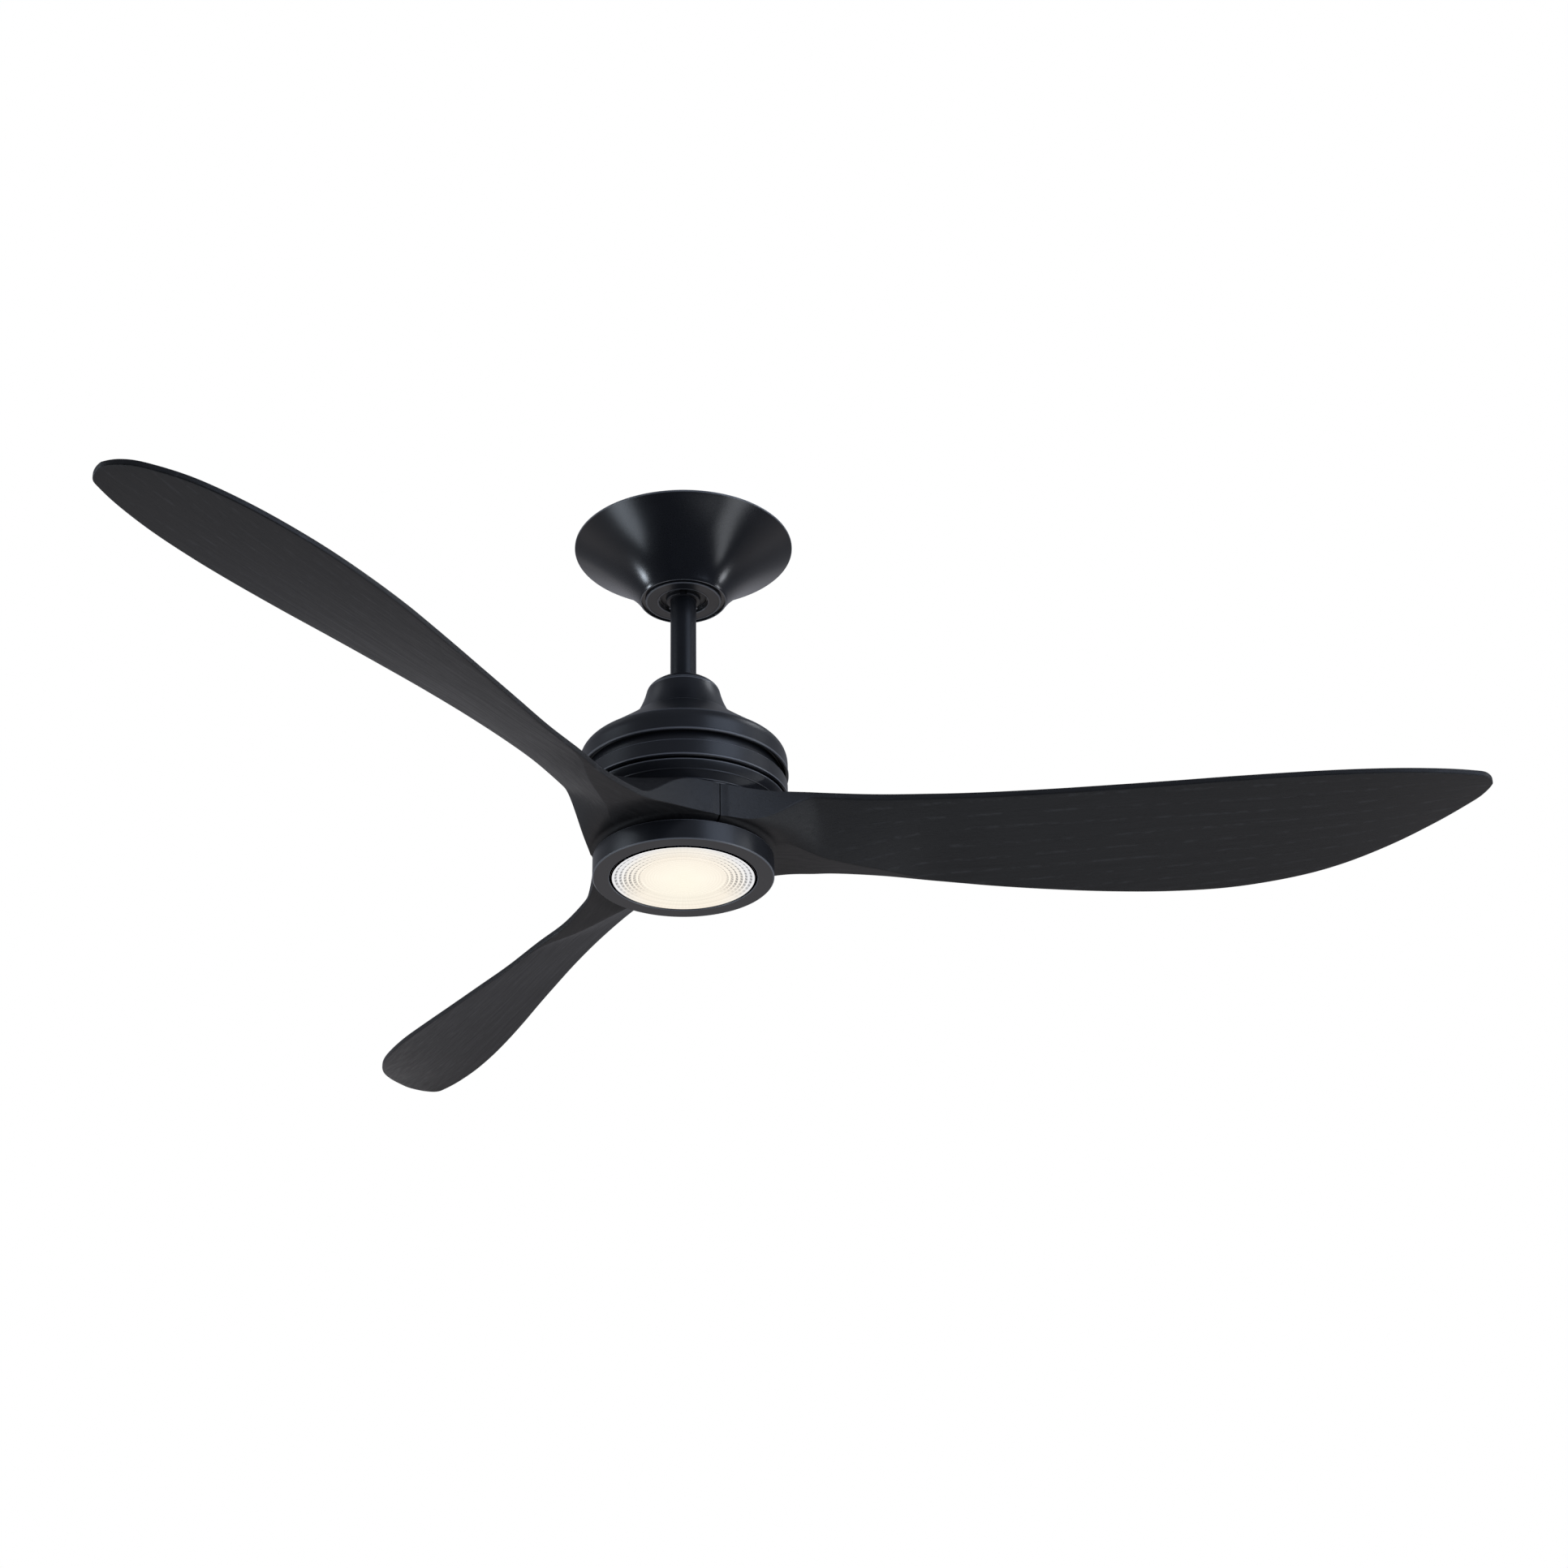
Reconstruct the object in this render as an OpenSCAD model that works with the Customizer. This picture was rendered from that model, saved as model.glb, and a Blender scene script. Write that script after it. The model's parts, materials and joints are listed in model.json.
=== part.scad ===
// Ceiling fan with a light: three carved wooden blades on a turning hub, a round
// motor housing, a short downrod with a hanging ball, a bowl-shaped canopy and a
// ring light under the hub. Millimetres, +Z up. The origin is on the ceiling, on
// the fan's axis. Heights called "h" are counted up from the light's lowest face.

/* [Overall] */
// Height of the ceiling above the lowest face of the light
drop = 317; // [300:1:400]
// Radius swept by the blade tips
sweep_r = 654; // [640:1:700]
// Direction of the first blade, in degrees from +X
first_blade_at = -7; // [-60:1:60]

/* [Canopy] */
// Radius of the canopy's rim on the ceiling
canopy_r = 94; // [90:1:100]
// Height of the canopy's bowl
canopy_h = 53; // [51:0.5:55]
// Radius of the canopy's neck, where the trim ring closes it
neck_r = 37; // [36.5:0.5:38]
// Thickness of the canopy's steel at its rim
canopy_t = 1.4; // [1:0.1:1.8]

/* [Ceiling bracket] */
// Radius of the plate that screws to the outlet box
plate_r = 62; // [58:1:66]
// Radius of the wire hole in the plate
wire_hole_r = 14; // [12:0.5:14.5]
// Distance between the two outlet box screws
box_spacing = 88.9; // [88.9:0.1:90]
// Length of each screw slot
slot_l = 16; // [12:1:18]
// Width of each screw slot
slot_w = 5.2; // [4.8:0.1:5.6]

/* [Hanging ball and downrod] */
// Radius of the hanging ball
ball_r = 26; // [25.5:0.1:26]
// Clearance between the ball and its seat
ball_gap = 0.3; // [0.2:0.1:0.4]
// Outside radius of the downrod
rod_r = 11; // [10.6:0.1:11]
// Wall thickness of the downrod
rod_t = 2; // [1.5:0.1:2.5]
// Radius of both cross pins
pin_r = 3; // [2.8:0.1:3]
// Radial running clearance of pins, shaft and bearings
fit = 0.05; // [0.03:0.01:0.08]

/* [Motor housing] */
// Radius of the housing's bands
housing_r = 87; // [86.5:0.5:88]
// Height of the upper band's lower edge
band1_h0 = 92.5; // [92:0.5:93]
// Height where the upper band starts to turn in
band1_h1 = 103; // [102.5:0.5:104]
// Height of the edge between the upper band and the dome
shoulder_h = 115.5; // [115:0.5:116.5]
// Radius of the edge between the upper band and the dome
shoulder_r = 80.5; // [80:0.5:81.5]
// Height of the middle band's lower edge
band2_h0 = 69; // [69:0.5:69.5]
// Height of the middle band's upper edge
band2_h1 = 84; // [83:0.5:85]
// Radius of the recess between the two bands
recess_r = 81.5; // [80:0.5:82]

/* [Motor] */
// Outside radius of the hollow motor shaft
shaft_r = 8.5; // [8.5:0.1:8.6]
// Outside radius of the stator
stator_r = 55.5; // [55:0.1:55.5]
// Number of stator teeth and coils
teeth = 12; // [9:3:12]
// Number of rotor magnets
magnets = 14; // [10:2:16]

/* [Blades] */
// Height of the hub's lower face
hub_h0 = 19.5; // [19.5:0.5:20]
// Height of the hub's upper face
hub_h1 = 52; // [52:0.5:52.5]
// Radius of the hub where two blades meet
hub_r = 76; // [76:0.5:78]
// Thickness of a blade at its edges
edge_t = 5; // [4:0.5:6]
// Height of the leading edge's middle, level along the whole blade
lead_h = 52; // [51:0.5:53]
// Width of the seam between two blade roots
seam = 0.5; // [0.4:0.1:0.8]

/* [Light] */
// Outside radius of the light's ring
light_r = 74.5; // [74:0.5:76]
// Height of the light's ring
light_h = 17.5; // [17:0.5:17.5]
// Radius of the visible lens
lens_r = 59; // [58:0.5:60]
// Number of fine ridges around the lens
ridges = 5; // [3:1:6]

/* [Hidden] */
$fn = 72;

black = "#1b1c20";
graphite = "#34363a";
steel = "#9aa0a6";
zinc = "#c3c6ca";
aluminium = "#b9bcc0";
copper = "#b8672e";
stain = "#201e1e";

// Places children at height h above the light's lowest face.
module up(h) translate([0, 0, h - drop]) children();

// Turns a closed [radius, height] outline around Z.
module turned(outline) rotate_extrude() polygon(outline);

// A cylinder from height z0 to z1.
module post(r, z0, z1) translate([0, 0, z0]) cylinder(r = r, h = z1 - z0);

// Repeats children n times around Z, starting at angle a0.
module around(n, a0 = 0) for (i = [0:n - 1]) rotate(a0 + i * 360 / n) children();

// A pan-head screw that points up: head from z0 - head_h to z0, shank up to z1.
module screw_up(r, z0, z1, head_r, head_h) {
    difference() {
        union() {
            post(r, z0 - 0.1, z1);
            post(head_r, z0 - head_h, z0);
        }
        post(r * 0.6, z0 - head_h - 1, z0 - head_h * 0.4, $fn = 6);
    }
}

// Point of a cubic curve with end points a, d and handles b, c.
function bezier(a, b, c, d, t) =
    a * pow(1 - t, 3) + 3 * b * t * pow(1 - t, 2) + 3 * c * t * t * (1 - t) + d * t * t * t;
function bezier_line(a, b, c, d, n) = [for (i = [0:n]) bezier(a, b, c, d, i / n)];
function reversed(list) = [for (i = [len(list) - 1:-1:0]) list[i]];
function smooth(t) = let (c = max(0, min(1, t))) c * c * (3 - 2 * c);

// ---------------------------------------------------------------- ceiling group
plate_t = 3;
floor_t = 1.5;
floor_z = 2 - canopy_h;
ball_z = 20.5 - canopy_h;
seat_top = 12.5 - canopy_h;
seat_bottom = floor_z + floor_t;
seat_outer = 31;
leg_t = 2.5;
leg_x = seat_outer - leg_t;
foot_x = 18;
bracket_w = 24;
rivet_r = 2;
rivet_at = [[23, -8], [23, 8], [-23, -8], [-23, 8]];
canopy_screw_x = 27;
key_w = 2;
key_slot_w = 6;
rod_gap_w = 24;

module ceiling_plate() color(zinc) difference() {
    post(plate_r, -plate_t, 0);
    post(wire_hole_r, -plate_t - 1, 1);
    for (side = [-1, 1]) translate([side * box_spacing / 2, 0, 0]) box_slot();
    for (p = rivet_at) translate([p[0], p[1], 0]) post(rivet_r + fit, -plate_t - 1, 1);
}

module box_slot() {
    end = (slot_l - slot_w) / 2;
    for (side = [-1, 1]) translate([side * end, 0, 0]) post(slot_w / 2, -plate_t - 1, 1);
    translate([-end, -slot_w / 2, -plate_t - 1]) cube([2 * end, slot_w, plate_t + 2]);
}

// Two feet under the plate, two legs, and the saddle that the hanging ball rests in.
module hanger_bracket() color(zinc) {
    difference() {
        union() {
            for (side = [-1, 1]) {
                translate([side > 0 ? foot_x : -seat_outer, -bracket_w / 2, -plate_t - leg_t])
                    cube([seat_outer - foot_x, bracket_w, leg_t]);
                translate([side > 0 ? leg_x : -seat_outer, -bracket_w / 2, seat_top - 1])
                    cube([leg_t, bracket_w, -plate_t - seat_top + 1]);
            }
            difference() {
                post(seat_outer, seat_bottom, seat_top);
                translate([0, 0, ball_z]) sphere(r = ball_r + ball_gap);
                translate([-rod_gap_w / 2, 0, seat_bottom - 1]) cube([rod_gap_w, 40, 20]);
            }
            translate([-key_w / 2, -26, seat_top - 4]) cube([key_w, 4, 4]);
        }
        for (side = [-1, 1]) translate([side * canopy_screw_x, 0, 0])
            post(2, seat_bottom - 1, seat_bottom + 8);
        for (p = rivet_at) translate([p[0], p[1], 0])
            post(rivet_r + fit, -plate_t - leg_t - 1, -plate_t + 1);
    }
}

module bracket_rivets() color(steel) for (p = rivet_at) translate([p[0], p[1], 0]) {
    post(rivet_r, -plate_t - leg_t - 0.5, 0);
    post(2 * rivet_r, -plate_t - leg_t - 1.5, -plate_t - leg_t);
}

collar_r = 23;
canopy_outer = concat([[canopy_r, 0]],
    bezier_line([canopy_r, -1.5], [canopy_r - 12, -10], [neck_r + 13, 23 - canopy_h],
        [neck_r, -canopy_h], 22));
canopy_inner = [for (p = canopy_outer) if (p[1] > seat_bottom - canopy_t)
    [p[0] - canopy_t, min(0, p[1] + canopy_t)]];

module canopy() color(black) difference() {
    turned(concat(canopy_outer,
        [[neck_r - 1.2, -canopy_h], [neck_r - 1.2, floor_z], [collar_r, floor_z],
            [collar_r, seat_bottom], [neck_r - 0.5, seat_bottom]],
        reversed(canopy_inner)));
    for (side = [-1, 1]) translate([side * canopy_screw_x, 0, 0])
        post(2.3, floor_z - 1, seat_bottom + 1);
}

module canopy_screws() color(steel) for (side = [-1, 1])
    translate([side * canopy_screw_x, 0, 0]) screw_up(2, floor_z, seat_bottom + 7, 3.6, 1.4);

// Flat ring under the neck that hides the two canopy screws.
ring_t = 2.4;
ring_hole_r = 21;
ring_r = 32.4;
ring_pocket = 1.6;

module canopy_trim_ring() color(black) translate([0, 0, floor_z]) turned([
    [ring_hole_r, 1], [collar_r - fit, 1], [collar_r - fit, -1], [collar_r + 0.3, -ring_pocket],
    [ring_r - 1.6, -ring_pocket], [ring_r - 1.4, -1], [ring_r - 1.4, 0], [ring_r, 0],
    [ring_r, 0.6 - ring_t], [ring_r - 0.6, -ring_t], [ring_hole_r + 0.6, -ring_t],
    [ring_hole_r, 0.6 - ring_t]]);

receiver_size = [70, 20, 16];
receiver_y = 34;
ear = [6, 10, 3];

module receiver_case() color(graphite) {
    translate([-receiver_size[0] / 2, receiver_y, -plate_t - receiver_size[2]])
        cube(receiver_size);
    for (side = [0, 1]) mirror([side, 0, 0])
        translate([receiver_size[0] / 2 - 1, receiver_y + 5, -plate_t - ear[2]]) cube(ear);
}

module wire_nuts() color("#c8742c") for (i = [-1:1]) translate([i * 16, -46, -24])
    cylinder(r1 = 5.5, r2 = 3.5, h = 15);

// ------------------------------------------------------- hanging ball and downrod
rod_h0 = 158.5;
rod_top_z = -12;
ball_low = 17;
ball_high = 17;
boss_end_r = 14.5;
boss_end_h = 4;

module hanger_pin() color(steel) translate([-24, 0, ball_z]) rotate([0, 90, 0])
    cylinder(r = pin_r, h = 48);

module hanger_ball() color(graphite) translate([0, 0, ball_z]) difference() {
    union() {
        intersection() {
            sphere(r = ball_r);
            post(ball_r + 1, -ball_low, ball_high);
        }
        post(boss_end_r, -ball_low - boss_end_h, 1 - ball_low);
    }
    post(rod_r + fit, -ball_r, ball_r);
    rotate([0, 90, 0]) translate([0, 0, -ball_r]) cylinder(r = pin_r + fit, h = 2 * ball_r);
    translate([-key_slot_w / 2, -ball_r - 1, -ball_low - boss_end_h - 1])
        cube([key_slot_w, 14, 28]);
}

module downrod() color(black) difference() {
    up(0) post(rod_r, rod_h0, drop + rod_top_z);
    up(0) post(rod_r - rod_t, rod_h0 - 1, drop + rod_top_z + 1);
    for (z = [ball_z, pin_h - drop]) translate([-rod_r - 1, 0, z]) rotate([0, 90, 0])
        cylinder(r = pin_r + fit, h = 2 * rod_r + 2);
}

// Wires that run inside the rod and the hollow shaft, past the cross pins.
module motor_leads() for (i = [0:3]) color(["white", "black", "#2255aa", "#2e7d32"][i])
    translate([i % 2 == 0 ? -1.5 : 1.5, i < 2 ? -4.5 : 4.5, 0]) up(0) post(1, 16, drop - 9);

// ------------------------------------------------------------ coupling and cover
pin_h = 171;
coupling_h0 = 128;
coupling_h1 = 178;
coupling_r = 20;
flange_h0 = 140;
flange_h1 = 144;
flange_r = 36;
dome_screw_r = 30;
set_screw_h = 175;
shaft_top = 156;

module motor_coupling() color(zinc) up(0) difference() {
    union() {
        post(coupling_r, flange_h0, coupling_h1);
        post(14, coupling_h0, flange_h0 + 1);
        post(flange_r, flange_h0, flange_h1);
    }
    post(shaft_r, coupling_h0 - 1, rod_h0);
    post(rod_r + fit, rod_h0, coupling_h1 + 1);
    translate([-coupling_r - 1, 0, pin_h]) rotate([0, 90, 0])
        cylinder(r = pin_r + fit, h = 2 * coupling_r + 2);
    for (side = [0, 180]) rotate(side) set_screw_place() post(2.5, -1, 12);
    around(3, 30) translate([dome_screw_r, 0, 0]) post(2, flange_h0 - 1, flange_h1 + 1);
}

module set_screw_place() translate([0, rod_r + fit, set_screw_h]) rotate([-90, 0, 0])
    children();

module set_screws() color(steel) up(0) for (side = [0, 180]) rotate(side) set_screw_place()
    difference() {
        post(2.5, 0, 8);
        post(1.4, 5, 9, $fn = 6);
    }

module coupling_pin() color(steel) up(pin_h) difference() {
    union() {
        translate([-24, 0, 0]) rotate([0, 90, 0]) cylinder(r = pin_r, h = 48);
        translate([-26, 0, 0]) rotate([0, 90, 0]) cylinder(r = 4.5, h = 2);
    }
    translate([22, 0, -5]) cylinder(r = 0.9, h = 10);
}

module pin_clip() color(zinc) up(pin_h) translate([22, 0, 0]) {
    cylinder(r = 0.8, h = 12, center = true);
    translate([0, 0, -8.5]) rotate([90, 0, 90]) rotate_extrude() translate([3, 0]) circle(r = 0.8);
}

cover_t = 1.5;
cover_h0 = 145.5;
cover_h1 = 186;
cover_hole_r = 11.4;
cover_side = concat([[42, cover_h0], [42, cover_h0 + 0.8]],
    bezier_line([41, cover_h0 + 2], [36, 156.5], [33, 164], [31, 173], 8),
    bezier_line([30.6, 174], [29.6, 177], [24, 181.5], [14, cover_h1], 8));

module coupling_cover() color(black) up(0) turned(concat(cover_side,
    [[cover_hole_r, cover_h1], [cover_hole_r, cover_h1 - cover_t]],
    [for (p = reversed(cover_side)) [p[0] - cover_t, max(cover_h0, p[1] - cover_t)]]));

// ------------------------------------------------------------------ motor housing
housing_t = 2;
dome_top_r = 44;
dome_top_h = 145.5;
dome_hole_r = 20.6;
lip = 0.6;
shoulder = bezier_line([housing_r, band1_h1], [housing_r, band1_h1 + 6],
    [shoulder_r + 4.5, shoulder_h - 2], [shoulder_r, shoulder_h], 8);
dome_side = concat(shoulder,
    bezier_line([shoulder_r - 0.4, shoulder_h + 0.3], [72, 122.5], [56, 134],
        [dome_top_r, dome_top_h - 0.6], 12),
    [[dome_top_r - 0.6, dome_top_h]]);

module upper_housing() color(black) up(0) difference() {
    turned(concat(
        [[housing_r - 0.4, band1_h0], [housing_r + lip, band1_h0 + 0.7],
            [housing_r + lip, band1_h0 + 1.6], [housing_r, band1_h0 + 2.4]],
        dome_side, [[dome_hole_r, dome_top_h], [dome_hole_r, flange_h1],
            [dome_top_r - 3, flange_h1]],
        [for (p = reversed(dome_side)) if (p[1] < dome_top_h - 1)
            [p[0] - housing_t, p[1] - housing_t]],
        [[housing_r - housing_t, band1_h0]]));
    around(3, 30) translate([dome_screw_r, 0, 0]) post(2.3, flange_h1 - 3, dome_top_h + 1);
}

module housing_screws() color(steel) up(0) around(3, 30)
    translate([dome_screw_r, 0, dome_top_h]) mirror([0, 0, 1]) screw_up(2, 0, 5, 3.6, 1.4);

module lower_housing() color(black) up(0) turned([
    [housing_r - 0.4, band2_h0], [housing_r + lip, band2_h0 + 0.7],
    [housing_r + lip, band2_h0 + 1.6], [housing_r - 0.3, band2_h0 + 2.4],
    [housing_r - 0.3, band2_h1 - 1], [housing_r - 1, band2_h1], [recess_r + 0.6, band2_h1],
    [recess_r + 0.6, band2_h1 + 1], [recess_r, band2_h1 + 1.4], [recess_r, band1_h0 + 3],
    [housing_r - housing_t, band1_h0 + 6], [housing_r - housing_t, band1_h0 + 8.5],
    [recess_r + 1.5, band1_h0 + 8.5], [recess_r - 2, band1_h0 + 4],
    [recess_r - 2, band2_h1 - 1], [housing_r - 3, band2_h1 - 3],
    [housing_r - 3, band2_h0 + 2], [67, band2_h0 + 2], [67, band2_h0]]);

// -------------------------------------------------------------------------- motor
shaft_bore_r = 6;
shaft_h0 = 18;
stator_h0 = 82;
stator_h1 = 108;
tooth_w = 6;
coil_gap = 0.2;
magnet_r = stator_r + 0.8;
magnet_t = 4.2;
can_r = 64;
can_h0 = 70;
can_h1 = 118;
bearing_r = 20;
bearing_w = 12;
upper_bearing_h = 112;
lower_bearing_h = 54;

module motor_shaft() color(steel) up(0) difference() {
    post(shaft_r, shaft_h0, shaft_top);
    post(shaft_bore_r, shaft_h0 - 1, shaft_top + 1);
}

module stator_core() color(steel) up(stator_h0) linear_extrude(stator_h1 - stator_h0)
    difference() {
        union() {
            circle(r = 25);
            around(teeth) translate([20, -tooth_w / 2]) square([stator_r - 23, tooth_w]);
            difference() {
                circle(r = stator_r);
                circle(r = stator_r - 5);
                around(teeth, 180 / teeth) translate([0, -1.5]) square([stator_r + 1, 3]);
            }
        }
        circle(r = shaft_r);
    }

module stator_windings() color(copper) up(0) around(teeth) translate([27, 0, 0]) difference() {
    translate([0, -6.5, stator_h0 - 5]) cube([19, 13, stator_h1 - stator_h0 + 10]);
    translate([-1, -tooth_w / 2 - coil_gap, stator_h0 - coil_gap])
        cube([21, tooth_w + 2 * coil_gap, stator_h1 - stator_h0 + 2 * coil_gap]);
}

module rotor_can() color(zinc) up(0) difference() {
    turned([[22, can_h0], [can_r, can_h0], [can_r, can_h1], [magnet_r + magnet_t, can_h1],
        [magnet_r + magnet_t, can_h0 + 3], [22, can_h0 + 3]]);
    around(3, 60) translate([carrier_screw_r, 0, 0]) post(2.7, can_h0 - 1, can_h0 + 4);
}

module rotor_magnets() color(graphite) up(0) around(magnets) rotate(-180 / magnets + 1)
    rotate_extrude(angle = 360 / magnets - 2)
        translate([magnet_r, 80]) square([magnet_t, 30]);

module rotor_cover() color(aluminium) up(0) turned([
    [bearing_r, upper_bearing_h], [bearing_r + 4, upper_bearing_h], [bearing_r + 4, can_h1],
    [can_r, can_h1], [can_r, can_h1 + 3], [bearing_r + 4, can_h1 + 3],
    [bearing_r + 4, upper_bearing_h + bearing_w + 2], [14, upper_bearing_h + bearing_w + 2],
    [14, upper_bearing_h + bearing_w], [bearing_r, upper_bearing_h + bearing_w]]);

// Ball bearing with its two ring grooves.
module bearing(h) color(steel) up(h) difference() {
    post(bearing_r, 0, bearing_w);
    post(shaft_r + fit, -1, bearing_w + 1);
    for (z = [-1, bearing_w - 1]) translate([0, 0, z]) difference() {
        post(16.5, 0, 2);
        post(12, -1, 3);
    }
}

module upper_bearing() bearing(upper_bearing_h);
module lower_bearing() bearing(lower_bearing_h);

// ----------------------------------------------------------------------- carrier
carrier_r = 86;
carrier_edge_h0 = hub_h1 + 1;
carrier_h1 = 66.8;
boss_r = 44;
carrier_screw_r = 33;

module blade_carrier() color(black) up(0) difference() {
    turned([[14, hub_h1], [78, hub_h1], [79, carrier_edge_h0], [carrier_r - 6, carrier_edge_h0],
        [carrier_r - 3.4, carrier_edge_h0 + 4.2], [carrier_r - 1.5, carrier_edge_h0 + 8],
        [carrier_r - 0.4, carrier_edge_h0 + 11.2], [carrier_r, carrier_h1 - 0.8],
        [carrier_r - 0.8, carrier_h1], [82, carrier_h1], [82, 59], [boss_r, 59],
        [boss_r, can_h0], [bearing_r, can_h0], [bearing_r, lower_bearing_h],
        [14, lower_bearing_h]]);
    around(3, 60) translate([carrier_screw_r, 0, 0]) post(2.5, 60, can_h0 + 1);
    around(3, first_blade_at) for (p = blade_screw_at) translate([p[0], p[1], 0])
        post(2.5, hub_h1 - 1, 60);
}

module carrier_screws() color(steel) up(0) around(3, 60)
    translate([carrier_screw_r, 0, can_h0 + 3]) mirror([0, 0, 1]) screw_up(2.5, 0, 9, 4.5, 3);

// ------------------------------------------------------------------------- blades
root_r = 34;
blade_screw_at = [[48, -27], [48, 27], [64, 0]];
blade_screw_seat = 26;

// Blade stations: distance out, leading edge, trailing edge, bow of the station
// line, height of the trailing edge's middle, and the part of the chord, from the
// leading edge, that the pitched underside takes before the flat along the hub.
stations = [
    [hub_r * cos(60), -hub_r * sin(60), hub_r * sin(60), hub_r / 2, 22, 0.4],
    [58, -55, 55.5, 27.5, 21.5, 0.42],
    [78, -46.5, 48.5, 16.5, 21.5, 0.46],
    [98, -40, 44, 6, 21, 0.52],
    [120, -34.5, 42, 0, 20, 0.62],
    [160, -27, 45, 0, 17, 0.8],
    [200, -23, 53.5, 0, 14.5, 0.97],
    [250, -20.5, 63, 0, 11, 1],
    [300, -20, 73, 0, 9.5, 1],
    [350, -21, 82, 0, 9, 1],
    [400, -22.5, 89.5, 0, 10, 1],
    [450, -24.5, 94, 0, 13, 1],
    [500, -25.5, 92.5, 0, 18.5, 1],
    [540, -25, 86, 0, 25, 1],
    [580, -22.5, 73, 0, 34, 1],
    [615, -17.5, 55.5, 0, 43, 1],
    [640, -11.5, 37, 0, 49, 1],
    [652, -6, 24, 0, 51.5, 1],
    [658, 8, 8, 0, 53, 1],
    [652, 24, -6, 0, 51.5, 1]];
tip = len(stations) - 2;
steps = 3;
chord_steps = 10;
blend_from = 76;
blend_to = 118;

// Smooth curve through the stations, at position s counted in stations.
function station(s) =
    let (i = min(floor(s), tip - 1), t = s - i)
    let (b = stations[i], c = stations[i + 1], d = stations[i + 2])
    let (a = i > 0 ? stations[i - 1] : 2 * b - c)
    0.5 * (2 * b + (c - a) * t + (2 * a - 5 * b + 4 * c - d) * t * t
        + (3 * b - a - 3 * c + d) * t * t * t);

// A root line is an arc between the seams; bow_shape is that arc's rise, from 0 to 1.
function bow_shape(v) = 2 * sqrt(1 - pow(sin(60) * (2 * v - 1), 2)) - 1;

// Moves a place out or in where the sweep isn't the stations' own.
tip_x = stations[tip][0];
stretch_from = 120;
function stretch(p) =
    let (share = max(0, p[0] - stretch_from) / (tip_x - stretch_from))
    [p[0] * (1 + (sweep_r / tip_x - 1) * share), p[1]];
function plan(st, v) = stretch([st[0] + st[3] * bow_shape(v), st[1] + (st[2] - st[1]) * v]);

// Heights of the two faces at chord position v, from 0 at the leading edge.
function belly(st) = let (x = st[0]) 3.5 * smooth((x - 90) / 60) * (1 - smooth((x - 200) / 440));
function face_low(st, v) =
    let (low = st[4] - edge_t / 2, high = lead_h - edge_t / 2, k = st[5])
    max(low, high - (high - low) * v / k) - 0.4 * belly(st) * sin(180 * v);
function face_high(st, v) =
    let (low = st[4] + edge_t / 2, high = lead_h + edge_t / 2, k = st[5])
    min(high, low + (high - low) * (1 - v) / k) + belly(st) * sin(180 * v);
function hub_share(p) = 1 - smooth((norm(p) - blend_from) / (blend_to - blend_from));

// The hub's lower rim curves up towards its edge.
rim_rise = 4;
function hub_low(p) = hub_h0 + rim_rise * smooth((norm(p) - 68) / 8);
function blade_point(st, v, top) =
    let (p = plan(st, v), w = hub_share(p))
    let (hub = top ? hub_h1 : hub_low(p), face = top ? face_high(st, v) : face_low(st, v))
    [p[0], p[1], w * hub + (1 - w) * face];

// A root line at radius r, between the two seams.
function root_point(r, v, top) =
    let (half = 60 - asin(seam / 2 / r), a = asin(sin(half) * (2 * v - 1)))
    [r * cos(a), r * sin(a), top ? hub_h1 : hub_low([r, 0])];

root_lines = [root_r, 42, 56, 68, 72];
lines = len(root_lines) + tip * steps + 1;
function line_point(i, v, top) =
    i < len(root_lines) ? root_point(root_lines[i], v, top)
    : blade_point(seam_trim(station((i - len(root_lines)) / steps)), v, top);

// Keeps the root line that ends at the seams clear of them.
function seam_trim(st) =
    let (in = st[0] < 41 ? seam * 0.6 : 0)
    [st[0], st[1] + in, st[2] - in, st[3], st[4], st[5]];

module blade_body() {
    across = chord_steps + 1;
    points = [for (top = [false, true]) for (i = [0:lines - 1]) for (j = [0:chord_steps])
        line_point(i, j / chord_steps, top)];
    half = lines * across;
    quads = [for (i = [0:lines - 2]) for (j = [0:chord_steps - 1])
        let (a = i * across + j, b = a + 1, c = a + across + 1, d = a + across) [a, b, c, d]];
    low = [for (q = quads) each [[q[0], q[1], q[2]], [q[0], q[2], q[3]]]];
    lift = half * [1, 1, 1];
    high = [for (q = quads) each [[q[2], q[1], q[0]] + lift, [q[3], q[2], q[0]] + lift]];
    rim = concat([for (j = [0:chord_steps - 1]) j],
        [for (i = [0:lines - 1]) i * across + chord_steps],
        [for (i = [lines - 2:-1:1]) i * across]);
    wall = [for (k = [0:len(rim) - 1]) let (a = rim[k], b = rim[(k + 1) % len(rim)])
        each [[a, a + half, b + half], [a, b + half, b]]];
    polyhedron(points, concat(low, high, wall));
}

module blade(i) color(stain) up(0) rotate(first_blade_at + 120 * i) difference() {
    blade_body();
    for (p = blade_screw_at) translate([p[0], p[1], 0]) {
        post(2.8, hub_h0 - 1, hub_h1 + 1);
        post(5.5, hub_h0 - 1, blade_screw_seat);
    }
}

module blade_1() blade(0);
module blade_2() blade(1);
module blade_3() blade(2);

module blade_screws() color(steel) up(0) around(3, first_blade_at)
    for (p = blade_screw_at) translate([p[0], p[1], 0])
        screw_up(2.5, blade_screw_seat, 59, 5, 3.5);

// -------------------------------------------------------------------------- light
pan_r = 70.5;
lens_flange_h = 2.5;
board_t = 1.6;
pan_top_t = 2;
pan_screw_r = 22;
driver_h0 = light_h + 2;
driver_h1 = 46;

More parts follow.
